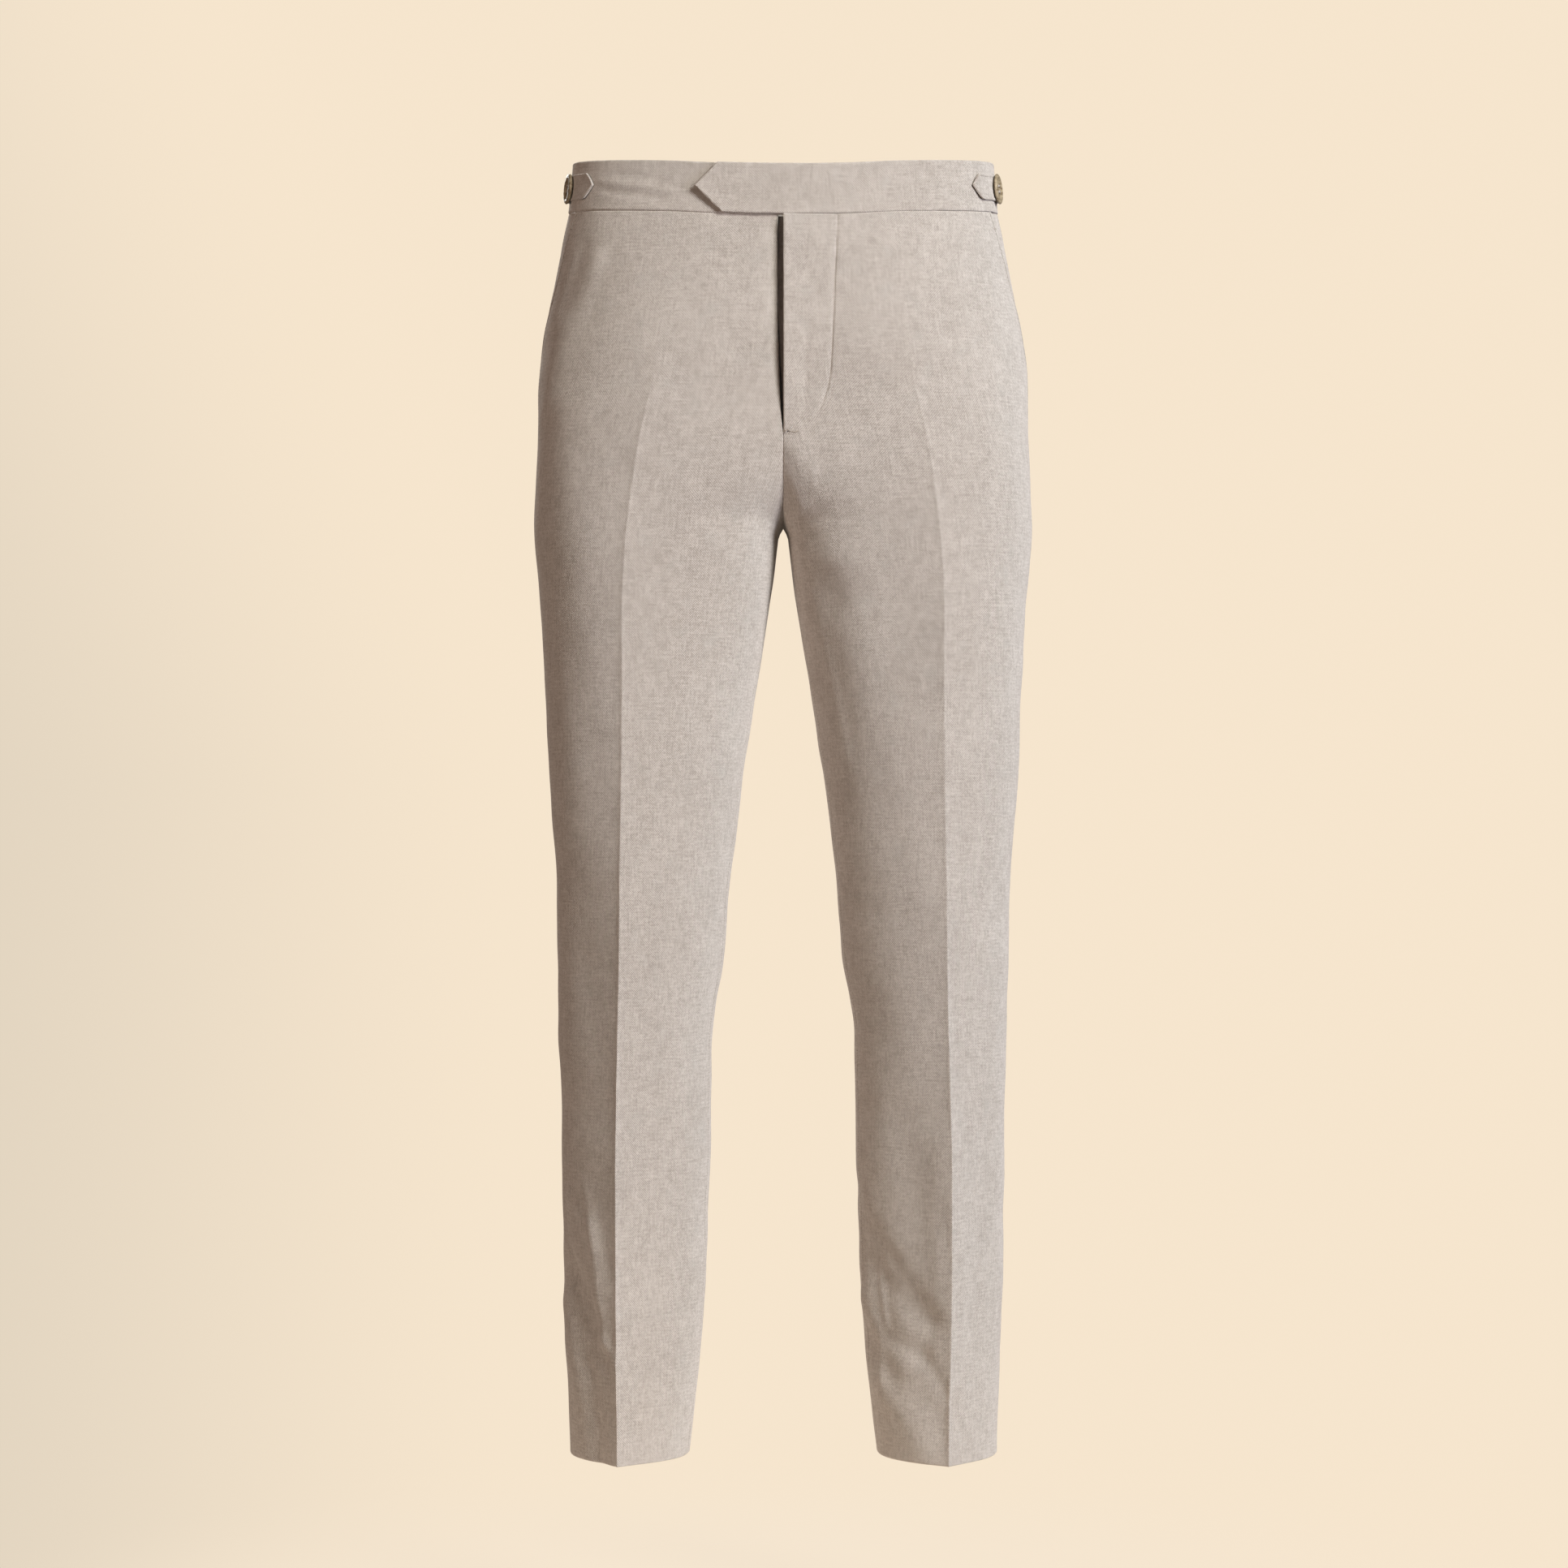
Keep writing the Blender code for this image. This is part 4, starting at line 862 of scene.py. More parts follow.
def waistband(side, material, shape):
    name = "waistband_left" if side > 0 else "waistband_right"
    lift_points = LEFT_LIFT if side > 0 else RIGHT_LIFT
    end = lift_points[0][0]
    bend = -POINT_START if side > 0 else 0.0
    lap = stations(bend - end, EDGE_STEPS, (0.0,), 18)[:-1] + end
    rest = stations(RING_DISTANCE[-1] - SEAM / 2 - bend, (0.0,), EDGE_STEPS, 170) + bend
    distance = np.concatenate((lap, rest))
    lean = np.clip((bend - distance) / (bend - end), 0.0, 1.0) if side > 0 else np.zeros_like(distance)
    upward = stations(WAISTBAND_HEIGHT - SEAM / 2, EDGE_STEPS, EDGE_STEPS, 22)
    tip = POINT_SHARE * (WAISTBAND_HEIGHT - SEAM / 2)
    upward[np.abs(upward - tip).argmin()] = tip
    share = (upward / upward[-1])[:, None]
    here = distance + lean * point_setback(share, POINT_SHARE, POINT_LENGTH)
    rise = SEAM / 2 + upward[:, None]
    lift = np.interp(here, *zip(*lift_points))
    face, normal = waist_face(here, rise, side)
    from_end = (here - here[:, :1]) * (POINT_SLANT if side > 0 else 1.0)
    edge = np.minimum(np.minimum(upward[:, None], (upward[-1] - upward)[:, None]), from_end)
    edge = np.minimum(edge, RING_DISTANCE[-1] - SEAM / 2 - here)
    crown = shape.waistband_crown * np.sin(math.pi * share) ** 2 * np.clip((here - 0.04) / 0.05, 0, 1)
    folds = band_fold_rise(here, rise, side) * shape.fold_strength
    lift = lift + crown + 0.45 * ripple(face, shape.ripple) + folds
    outer = face + normal * (lift - roll(edge, FOLDED_ROLL))[..., None]
    inner = face + normal * (lift - WAISTBAND_WALL + 0.6 * roll(edge, FOLDED_ROLL))[..., None]
    grain = np.stack(np.broadcast_arrays(here, rise), axis=-1)
    return cloth_piece(f"cloth_{name}", outer, inner, grain, side, material, LAYOUT[name])


def tab_setback(share):
    """How far a side adjuster's end is set back: a point with slightly bulging edges and rounded corners."""
    toward = np.where(share < TAB_TIP_SHARE, share / TAB_TIP_SHARE, (1 - share) / (1 - TAB_TIP_SHARE))
    near_edge = np.clip(1 - np.minimum(share, 1 - share) * TAB_HEIGHT / TAB_CORNER[0], 0.0, 1.0)
    rounding = TAB_CORNER[1] * (1 - np.sqrt(1 - near_edge**2))
    return point_setback(share, TAB_TIP_SHARE, TAB_POINT) + rounding - TAB_BULGE * np.sin(math.pi * toward)


def tab_face(distance, share, side):
    """Points and normals on a side adjuster, at a distance back from the side and a share of its height."""
    near_tip = np.clip(1 - (distance - TAB_TIP) / TAB_TIP_REACH, 0.0, 1.0)
    lift = WAISTBAND_PROUD + SEAM + TAB_WALL + TAB_TIP_LIFT * near_tip**2
    here = SIDE_DISTANCE + distance + near_tip * tab_setback(share)
    rise = WAISTBAND_HEIGHT / 2 + TAB_RISE + (share - 0.5) * TAB_HEIGHT
    face, normal = waist_face(here, rise, side)
    return face, normal, np.broadcast_arrays(lift, here)[0], here, rise


def side_tab(side, material, sewing):
    name = "side_tab_left" if side > 0 else "side_tab_right"
    distance = stations(TAB_BACK - TAB_TIP, EDGE_STEPS, EDGE_STEPS, 110) + TAB_TIP
    upward = stations(TAB_HEIGHT, EDGE_STEPS, EDGE_STEPS, 24)
    upward[np.abs(upward - TAB_TIP_SHARE * TAB_HEIGHT).argmin()] = TAB_TIP_SHARE * TAB_HEIGHT
    share = (upward / TAB_HEIGHT)[:, None]
    face, normal, lift, here, rise = tab_face(distance, share, side)
    slant = np.where(share < TAB_TIP_SHARE, 0.77, 0.89)
    edge = np.minimum(np.minimum(upward[:, None], TAB_HEIGHT - upward[:, None]), (here - here[:, :1]) * slant)
    edge = np.minimum(edge, TAB_BACK - distance)
    channel = sewing.channel_depth * np.exp(-(((edge - sewing.edge_inset) / 0.0005) ** 2))
    rim = 0.0002 * smoothstep((sewing.edge_inset - edge) / 0.0008)
    outer = face + normal * (lift + rim - channel - roll(edge, ROLL))[..., None]
    inner = face + normal * (lift - TAB_WALL + 0.4 * roll(edge, ROLL))[..., None]
    grain = np.stack(np.broadcast_arrays(here, rise), axis=-1)
    return cloth_piece(f"cloth_{name}", outer, inner, grain, side, material, LAYOUT[name])


def button_place(side):
    """Centre of a button's back, and the directions along the waist, up and out."""
    face, normal = waist_face(SIDE_DISTANCE + BUTTON_BACK, WAISTBAND_HEIGHT / 2 - BUTTON_DROP, side)
    centre = face + normal * (WAISTBAND_PROUD + SEAM + TAB_WALL + SEAM)
    aside = np.cross((0.0, 0.0, 1.0), normal)
    aside /= np.linalg.norm(aside)
    return centre, aside, np.cross(normal, aside), normal


def turned(name, profile, sides, place, middle=(0.0, 0.0)):
    """A closed mesh turned from (radius, height) points; its first and last points lie on the axis."""
    centre, aside, upright, axis = place
    centre = centre + aside * middle[0] + upright * middle[1]
    mesh = bmesh.new()
    first = mesh.verts.new(centre + axis * profile[0][1])
    last = mesh.verts.new(centre + axis * profile[-1][1])
    rings = []
    for radius, height in profile[1:-1]:
        angles = [2 * math.pi * index / sides for index in range(sides)]
        rings.append([
            mesh.verts.new(centre + axis * height + radius * (math.cos(a) * aside + math.sin(a) * upright))
            for a in angles
        ])
    for index in range(sides):
        following = (index + 1) % sides
        mesh.faces.new((first, rings[0][following], rings[0][index]))
        mesh.faces.new((last, rings[-1][index], rings[-1][following]))
        for low, high in zip(rings, rings[1:]):
            mesh.faces.new((low[index], low[following], high[following], high[index]))
    data = bpy.data.meshes.new(name)
    mesh.to_mesh(data)
    mesh.free()
    return placed(name, data)


def made_plain(piece):
    """Replaces a piece's mesh with the result of its modifiers, and removes them."""
    result = bpy.data.meshes.new_from_object(piece.evaluated_get(bpy.context.evaluated_depsgraph_get()))
    piece.modifiers.clear()
    piece.data = result
    return piece


def hole_middles():
    spread = HOLE_SPACING / 2
    return [(x * spread, y * spread) for x in (-1, 1) for y in (-1, 1)]


def button(side, material):
    """A horn button: a domed rim, a dish and four holes with softened mouths."""
    name = "horn_button_left" if side > 0 else "horn_button_right"
    place = button_place(side)
    top, radius = BUTTON_THICKNESS, BUTTON_RADIUS
    profile = (
        (0.0, 0.0), (0.0090, 0.0), (0.0108, 0.00012), (0.0117, 0.00045), (radius, 0.0011), (radius, 0.0017),
        (0.0119, 0.0022), (0.0114, 0.0026), (0.0107, 0.00285), (0.0099, top), (0.0092, 0.00292),
        (0.0086, 0.0026),
        (0.0081, 0.0022), (0.0074, 0.00195), (0.0062, 0.0018), (0.0040, 0.00172), (0.0, 0.0017),
    )
    disc = turned(name, profile, 72, place)
    cutters = []
    for index, middle in enumerate(hole_middles()):
        drilled = (
            (0.0, -0.001), (HOLE_RADIUS, -0.001), (HOLE_RADIUS, 0.0015),
            (0.0013, 0.0019), (0.0018, 0.0030), (0.0, 0.0031),
        )
        cutter = turned(f"drill_{index}", drilled, 20, place, middle)
        cut = disc.modifiers.new(f"hole_{index}", "BOOLEAN")
        cut.operation = "DIFFERENCE"
        cut.object = cutter
        cutters.append(cutter)
    made_plain(disc)
    for cutter in cutters:
        bpy.data.objects.remove(cutter, do_unlink=True)
    disc.data.materials.clear()
    disc.data.materials.append(material)
    disc.data.shade_smooth()
    disc.data.set_sharp_from_angle(angle=math.radians(35))
    return disc


def thread_path(start, end, place):
    """A strand that comes up one hole, crosses and goes down another."""
    centre, aside, upright, axis = place
    points = []
    for share in np.linspace(0, 1, 13):
        x = start[0] + (end[0] - start[0]) * smoothstep(share)
        y = start[1] + (end[1] - start[1]) * smoothstep(share)
        bow = 0.0004 + 0.0023 * math.sin(math.pi * share) ** 0.6
        points.append(centre + aside * x + upright * y + axis * bow)
    return points


def tube(mesh, points, radius, sides=6):
    """Adds a closed tube along points to a bmesh."""
    rings = []
    for index, point in enumerate(points):
        ahead = Vector(points[min(index + 1, len(points) - 1)]) - Vector(points[max(index - 1, 0)])
        across = ahead.orthogonal().normalized()
        other = ahead.normalized().cross(across)
        rings.append([
            mesh.verts.new(Vector(point) + radius * (math.cos(a) * across + math.sin(a) * other))
            for a in (2 * math.pi * k / sides for k in range(sides))
        ])
    for low, high in zip(rings, rings[1:]):
        start = min(range(sides), key=lambda k: (high[k].co - low[0].co).length)
        for k in range(sides):
            a, b = high[(start + k) % sides], high[(start + k + 1) % sides]
            mesh.faces.new((low[k], low[(k + 1) % sides], b, a))
    mesh.faces.new(rings[0][::-1])
    mesh.faces.new(rings[-1])


def button_thread(side, material):
    """The thread that holds a button: four strands across each pair of holes."""
    place = button_place(side)
    mesh = bmesh.new()
    holes = hole_middles()
    for start, end in ((holes[0], holes[2]), (holes[1], holes[3])):
        for strand in (-1.5, -0.5, 0.5, 1.5):
            shift = strand * 0.00042
            tube(mesh, thread_path((start[0], start[1] + shift), (end[0], end[1] + shift), place), 0.00024)
    bmesh.ops.recalc_face_normals(mesh, faces=mesh.faces)
    name = "button_thread_left" if side > 0 else "button_thread_right"
    data = bpy.data.meshes.new(name)
    mesh.to_mesh(data)
    mesh.free()
    data.materials.append(material)
    data.shade_smooth()
    return placed(name, data)


def node_adder(tree):
    """What adds a node to a tree, given its type, its settings and the values or links of its sockets."""

    def add(kind, settings=None, places=None, **named):
        node = tree.nodes.new(kind)
        for key, value in (settings or {}).items():
            setattr(node, key, value)
        for key, value in {**(places or {}), **{key.replace("_", " "): named[key] for key in named}}.items():
            if isinstance(value, bpy.types.NodeSocket):
                tree.links.new(value, node.inputs[key])
            else:
                node.inputs[key].default_value = value
        return node

    return add


def stitch_tree():
    """Geometry Nodes that lay one rounded stitch at even distances along each line of a mesh of edges."""
    tree = bpy.data.node_groups.new("row of stitches", "GeometryNodeTree")
    face = tree.interface
    face.new_socket("Path", in_out="INPUT", socket_type="NodeSocketGeometry")
    for name in ("Pitch", "Length", "Width", "Height"):
        face.new_socket(name, in_out="INPUT", socket_type="NodeSocketFloat").subtype = "DISTANCE"
    face.new_socket("Thread", in_out="INPUT", socket_type="NodeSocketMaterial")
    face.new_socket("Stitches", in_out="OUTPUT", socket_type="NodeSocketGeometry")

    add = node_adder(tree)
    given = add("NodeGroupInput").outputs
    curve = add("GeometryNodeMeshToCurve", Mesh=given["Path"])
    even = add("GeometryNodeResampleCurve", {"mode": "LENGTH"}, Curve=curve.outputs[0], Length=given["Pitch"])
    ball = add("GeometryNodeMeshUVSphere", Segments=8, Rings=5, Radius=0.5)
    smooth = add("GeometryNodeSetShadeSmooth", Geometry=ball.outputs["Mesh"])
    along = add("GeometryNodeInputTangent")
    out = add("GeometryNodeInputNamedAttribute", {"data_type": "FLOAT_VECTOR"}, Name="out")
    ahead = add("FunctionNodeAlignRotationToVector", {"axis": "X"}, Vector=along.outputs[0])
    upright = add(
        "FunctionNodeAlignRotationToVector", {"axis": "Z", "pivot_axis": "X"},
        Rotation=ahead.outputs[0], Vector=out.outputs[0],
    )
    size = add("ShaderNodeCombineXYZ", X=given["Length"], Y=given["Width"], Z=given["Height"])
    laid = add(
        "GeometryNodeInstanceOnPoints", Points=even.outputs[0], Instance=smooth.outputs[0],
        Rotation=upright.outputs[0], Scale=size.outputs[0],
    )
    real = add("GeometryNodeRealizeInstances", Geometry=laid.outputs[0])
    done = add("GeometryNodeSetMaterial", Geometry=real.outputs[0], Material=given["Thread"])
    result = tree.nodes.new("NodeGroupOutput")
    tree.links.new(done.outputs[0], result.inputs["Stitches"])
    return tree


def stitched(name, paths, tree, material, pitch, length, width, height):
    """Stitches along paths, each a list of points with the direction that the cloth faces there."""
    points, edges, faces_out = [], [], []
    for path in paths:
        first = len(points)
        for point, out in path:
            points.append(tuple(point))
            faces_out.append(tuple(out))
        edges += [(k, k + 1) for k in range(first, len(points) - 1)]
    mesh = bpy.data.meshes.new(name)
    mesh.from_pydata(points, edges, [])
    mesh.attributes.new("out", "FLOAT_VECTOR", "POINT").data.foreach_set("vector", np.ravel(faces_out))
    piece = placed(name, mesh)
    sewn = piece.modifiers.new("stitches", "NODES")
    sewn.node_group = tree
    values = {"Pitch": pitch, "Length": length, "Width": width, "Height": height, "Thread": material}
    for item in tree.interface.items_tree:
        if item.name in values:
            sewn[item.identifier] = values[item.name]
    made_plain(piece)
    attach(piece, "root")
    return piece


def on_cloth(piece, points, lift):
    """The nearest points of a piece to these, moved out by lift, with the direction that it faces there."""
    path = []
    for point in points:
        found, place, out, _ = piece.closest_point_on_mesh(Vector(point))
        if found:
            path.append((place + out * lift, out))
    return path


def front_points(side, heights, from_centre):
    """Points of a front at distances round from the centre front."""
    fine = np.linspace(0.0, 1.0, FINE)
    points = []
    for height, distance in zip(heights, from_centre):
        turn = np.interp(distance, distances(np.full_like(fine, height), fine), fine)
        points.append((surface(height, turn) + outward(height, turn) * 0.004) * (side, 1, 1))
    return points


def mouth_points(side, levels, inset):
    """Points of a front at a distance in from its pocket mouth."""
    fine = np.linspace(1.0, 2.0, FINE)
    points = []
    for level in levels:
        height = level_height(level, fine)
        length = distances(height, fine)
        turn = np.interp(length[-1] - pocket_gap(float(height[-1])) - inset, length, fine)
        point_height = level_height(level, turn)
        points.append((surface(point_height, turn) + outward(point_height, turn) * 0.001) * (side, 1, 1))
    return points


class Value:
    """A shader socket that Python's arithmetic works on, by adding Math nodes."""

    def __init__(self, finish, socket):
        self.finish = finish
        self.socket = socket

    def math(self, operation, *others, first=None):
        values = (self, *others) if first is None else (first, self)
        return self.finish.node("ShaderNodeMath", {"operation": operation}, dict(enumerate(values)))

    def __add__(self, other):
        return self.math("ADD", other)

    def __sub__(self, other):
        return self.math("SUBTRACT", other)

    def __mul__(self, other):
        return self.math("MULTIPLY", other)

    def __truediv__(self, other):
        return self.math("DIVIDE", other)

    def __rsub__(self, other):
        return self.math("SUBTRACT", first=other)

    __radd__ = __add__
    __rmul__ = __mul__

    def between(self, low, high):
        """0 below low, 1 above high, and a smooth step between them."""
        settings = {"interpolation_type": "SMOOTHSTEP"}
        places = {"Value": self, "From Min": low, "From Max": high}
        return self.finish.node("ShaderNodeMapRange", settings, places)


class Finish:
    """A material, and the one way in which nodes are added to it."""

    def __init__(self, name):
        self.material = bpy.data.materials.new(name)
        self.material.use_nodes = True
        self.tree = self.material.node_tree
        self.shader = self.tree.nodes["Principled BSDF"]

    def feed(self, socket, value):
        if isinstance(value, Value):
            self.tree.links.new(value.socket, socket)
        else:
            socket.default_value = value

    def node(self, kind, settings=None, inputs=None, output=0):
        made = self.tree.nodes.new(kind)
        for key, value in (settings or {}).items():
            setattr(made, key, value)
        for key, value in (inputs or {}).items():
            self.feed(made.inputs[key], value)
        return Value(self, made.outputs[output])

    def vector(self, operation, *values):
        return self.node("ShaderNodeVectorMath", {"operation": operation}, dict(enumerate(values)))

    def noise(self, place, scale, detail=2.0, roughness=0.5):
        """Noise of these scales along each axis, about -1 to 1 round 0."""
        scaled = self.vector("MULTIPLY", place, scale)
        values = {"Vector": scaled, "Scale": 1.0, "Detail": detail, "Roughness": roughness}
        return self.node("ShaderNodeTexNoise", {"noise_dimensions": "3D"}, values) * 4.0 - 2.0

    def mix(self, share, first, second):
        places = {0: share, 6: first, 7: second}
        return self.node("ShaderNodeMix", {"data_type": "RGBA"}, places, output=2)

    def set(self, **values):
        for key, value in values.items():
            self.feed(self.shader.inputs[key.replace("_", " ")], value)


def colour(rgb):
    return (*rgb, 1.0)


def cloth_finish(name, cloth, shade=1.0):
    """Hopsack of two tones of slubby yarn, with the clouds and streaks of unevenly spun linen."""
    finish = Finish(name)
    grain = finish.node("ShaderNodeUVMap", {"uv_map": "Grain"})
    wander = {"Vector": grain, "Scale": 90.0, "Detail": 1.0}
    stray = finish.node("ShaderNodeTexNoise", {"noise_dimensions": "3D"}, wander, output=1)
    stray = finish.vector("SUBTRACT", stray, (0.5, 0.5, 0.5))
    stray = finish.vector("MULTIPLY", stray, (0.0012, 0.0012, 0.0))
    thread = finish.vector("ADD", grain, stray)
    across = finish.node("ShaderNodeSeparateXYZ", None, {0: thread}, output=0)
    along = finish.node("ShaderNodeSeparateXYZ", None, {0: thread}, output=1)
    pitch = math.pi / cloth.check_size
    check = (across * pitch).math("SINE") * (along * pitch).math("SINE")
    warp = finish.noise(grain, (1 / 0.0015, 1 / 0.014, 0.0))
    weft = finish.noise(grain, (1 / 0.014, 1 / 0.0015, 3.0))
    fleck = finish.noise(grain, (1 / 0.0020, 1 / 0.0020, 5.0), detail=2.0, roughness=0.7)
    slub_warp = finish.noise(grain, (1 / 0.0026, 1 / 0.040, 7.0)).between(0.35, 1.3)
    slub_weft = finish.noise(grain, (1 / 0.030, 1 / 0.0022, 11.0)).between(0.35, 1.3)
    blotch = finish.noise(grain, (1 / 0.0065, 1 / 0.0080, 41.0), detail=2.0)
    smear = finish.noise(grain, (1 / 0.013, 1 / 0.034, 17.0), detail=3.0)
    cloud = finish.noise(grain, (1 / 0.060, 1 / 0.075, 23.0), detail=3.0, roughness=0.6)
    yarn = warp * 0.5 + weft * 0.5
    slubs = slub_warp * 0.6 + slub_weft * 0.4
    tone = yarn * cloth.yarn_unevenness + fleck * cloth.flecks + blotch * cloth.blotches
    tone = tone - (slubs - 0.12) * cloth.slubs + (smear * 0.6 + cloud * 0.7) * cloth.clouds
    tone = 0.5 + check * cloth.check_contrast + tone
    yarns = (cloth.dark_yarn, cloth.light_yarn)
    # a shade below 1 darkens both yarns as painted shade; the strip behind the fly uses it
    dark, light = (colour(tuple(shade * part for part in tone_of_yarn)) for tone_of_yarn in yarns)
    base = finish.mix(tone, dark, light)
    tint = finish.noise(grain, (1 / 0.018, 1 / 0.020, 31.0), detail=1.0)
    base = finish.mix((tint * 0.5).between(0.0, 1.0) * 0.35 * shade, base, colour(cloth.grey_tint))
    relief = check * 0.5 + yarn * 0.5 + fleck * 0.4 + slubs * 0.5
    bump = finish.node(
        "ShaderNodeBump", None, {"Strength": cloth.relief, "Distance": cloth.relief_height, "Height": relief}
    )
    finish.set(Base_Color=base, Normal=bump, Roughness=0.85, Diffuse_Roughness=0.9, IOR=1.4)
    finish.set(Specular_IOR_Level=0.25, Sheen_Weight=cloth.sheen, Sheen_Roughness=0.45)
    finish.set(Sheen_Tint=colour(cloth.light_yarn))
    return finish.material


def thread_finish(sewing):
    finish = Finish("sewing thread")
    place = finish.node("ShaderNodeTexCoord", output=3)
    twist = finish.noise(place, (2500.0, 2500.0, 2500.0))
    tone = finish.mix(0.5 + twist * 0.3, colour(sewing.thread_dark), colour(sewing.thread_light))
    bump = finish.node("ShaderNodeBump", None, {"Strength": 0.4, "Distance": 0.0001, "Height": twist})
    finish.set(Base_Color=tone, Normal=bump, Roughness=0.6, Specular_IOR_Level=0.3, Sheen_Weight=0.2)
    return finish.material


def horn_finish(buttons):
    """Polished horn: warm bands and flecks."""
    finish = Finish("polished horn")
    place = finish.node("ShaderNodeTexCoord", output=3)
    bands = finish.noise(place, (260.0, 90.0, 420.0), detail=4.0, roughness=0.6)
    flecks = finish.noise(place, (1600.0, 700.0, 1600.0), detail=2.0)
    banding = (bands * 0.55 + 0.5).between(0.1, 0.9)
    base = finish.mix(banding, colour(buttons.horn_dark), colour(buttons.horn_light))
    base = finish.mix(flecks.between(0.5, 1.6) * 0.4, base, colour(buttons.horn_fleck))
    bump = finish.node("ShaderNodeBump", None, {"Strength": 0.2, "Distance": 0.0001, "Height": flecks})
    finish.set(Base_Color=base, Normal=bump, Roughness=0.45 + bands * 0.05, IOR=1.5, Specular_IOR_Level=0.45)
    return finish.material


FLOOR_PALE = (0.06, 0.05, 0.04)  # what the floor adds to its own glow
FLOOR_DEEP = (0.05, 0.04, 0.03)


def floor_finish(stage):
    """A floor lit by its own glow, a painted light that keeps shadows on it faint; it fades out round the
    trousers into a ground of the same colour.
    """
    finish = Finish("pale floor")
    place = finish.node("ShaderNodeTexCoord", output=3)
    far = finish.node("ShaderNodeVectorMath", {"operation": "LENGTH"}, {0: place}, output=1)
    grain = finish.noise(place, (9.0, 9.0, 9.0), detail=3.0)
    shade = finish.mix(0.5 + grain * 0.25, colour(FLOOR_PALE), colour(FLOOR_DEEP))
    finish.set(Base_Color=shade, Roughness=0.9, Specular_IOR_Level=0.0)
    finish.set(Alpha=1 - far.between(stage.floor_clear, stage.floor_radius))
    # painted light: the floor glows by itself, so the shadows cast on it barely show
    finish.set(Emission_Color=colour(stage.floor_glow_colour), Emission_Strength=stage.floor_glow)
    return finish.material


def light(name, place, target, power, size, rgb):
    data = bpy.data.lights.new(name, "AREA")
    data.shape = "DISK"
    data.energy = power
    data.size = size
    data.color = rgb
    lamp = placed(name, data)
    lamp.location = place
    lamp.rotation_euler = (Vector(target) - Vector(place)).to_track_quat("-Z", "Y").to_euler()


def amount(name, description, default, **limits):
    return bpy.props.FloatProperty(name=name, description=description, default=default, **limits)


def measure(name, description, default):
    return amount(name, description, default, unit="LENGTH")


def power(name, description, default):
    return amount(name, description, default, unit="POWER")


def tint(name, description, default):
    return bpy.props.FloatVectorProperty(
        name=name, description=description, default=default, subtype="COLOR", size=3
    )


class ShapeSettings(bpy.types.PropertyGroup):
    fold_strength: amount("Folds", "Depth of the soft folds, against the measured depth", 1.0, min=0, max=2)
    ripple: amount("Unevenness", "Height of the cloth's slight unevenness", 1.0, min=0, max=3)
    crease_rise: measure("Crease", "How far the pressed creases stand up", 0.0005)
    waistband_crown: measure("Waistband crown", "How far the waistband swells between its edges", 0.0006)


class ClothSettings(bpy.types.PropertyGroup):
    light_yarn: tint("Light yarn", "Colour of the paler yarn", (0.665, 0.622, 0.580))
    dark_yarn: tint("Dark yarn", "Colour of the darker yarn", (0.410, 0.368, 0.331))
    grey_tint: tint("Grey tint", "Colour of the cooler patches", (0.50, 0.49, 0.46))
    check_size: measure("Check", "Width of one check of the hopsack", 0.00095)
    check_contrast: amount("Check contrast", "Tone of the checks", 0.80)
    yarn_unevenness: amount("Uneven yarn", "Tone of single uneven threads", 0.62)
    flecks: amount("Flecks", "Tone of the small flecks", 0.55)
    slubs: amount("Slubs", "Tone of the few thick dark threads", 0.42)
    blotches: amount("Blotches", "Tone of the small soft patches", 0.20)
    clouds: amount("Clouds", "Tone of the soft patches", 0.19)
    relief: amount("Relief", "Strength of the weave's relief", 0.48)
    relief_height: measure("Relief height", "Height of the weave's relief", 0.00025)
    sheen: amount("Sheen", "Soft light caught by the nap", 0.10)


class SewingSettings(bpy.types.PropertyGroup):
    thread_light: tint("Thread light", "Lit side of the thread", (0.62, 0.56, 0.50))
    thread_dark: tint("Thread dark", "Shaded side of the thread", (0.40, 0.35, 0.30))
    pitch: measure("Stitch pitch", "Distance between edge stitches", 0.0026)
    length: measure("Stitch length", "Length of an edge stitch", 0.0021)
    width: measure("Thread width", "Width of the sewing thread", 0.00042)
    edge_inset: measure("Edge inset", "Distance of a tab's stitching from its edge", 0.0022)
    channel_depth: measure("Channel", "How deep the stitching pulls into a tab", 0.00035)


class ButtonSettings(bpy.types.PropertyGroup):
    horn_light: tint("Horn light", "Pale bands of the horn", (0.52, 0.43, 0.29))
    horn_dark: tint("Horn dark", "Dark bands of the horn", (0.20, 0.145, 0.085))
    horn_fleck: tint("Horn flecks", "Flecks in the horn", (0.66, 0.60, 0.47))


class StageSettings(bpy.types.PropertyGroup):
    ground_light: tint("Ground", "Colour behind the trousers", (0.920, 0.785, 0.615))
    ground_dark: tint("Ground shade", "Its shaded left side", (0.745, 0.650, 0.520))
    fill_colour: tint("Fill", "Colour of the light from all round", (1.0, 0.96, 0.98))
    fill: amount("Fill strength", "Light from all round", 0.03)
    key_colour: tint("Key", "Colour of the main light", (0.993, 1.0, 0.949))
    key: power("Key power", "Power of the main light", 87.0)
    side_colour: tint("Side", "Colour of the light beside it", (0.912, 0.880, 1.0))
    side: power("Side power", "Power of the light beside the main one", 46.0)
    warm_colour: tint("Warm light", "Colour of the shaded side's light", (1.0, 0.758, 0.613))
    warm: power("Warm power", "Power of the shaded side's light", 29.0)
    back: power("Back power", "Power of the light from behind", 70.0)
    key_size: measure("Key size", "Width of the main light", 1.1)
    floor_drop: measure("Floor", "Height of the floor under the waist", -1.160)
    floor_glow_colour: tint("Floor colour", "Colour of the floor", (0.905, 0.783, 0.631))
    floor_glow: amount("Floor glow", "Light of the floor itself", 0.96)
    floor_clear: measure("Floor clear", "Where the floor begins to fade", 0.20)
    floor_radius: measure("Floor radius", "Where the floor has faded out", 0.75)


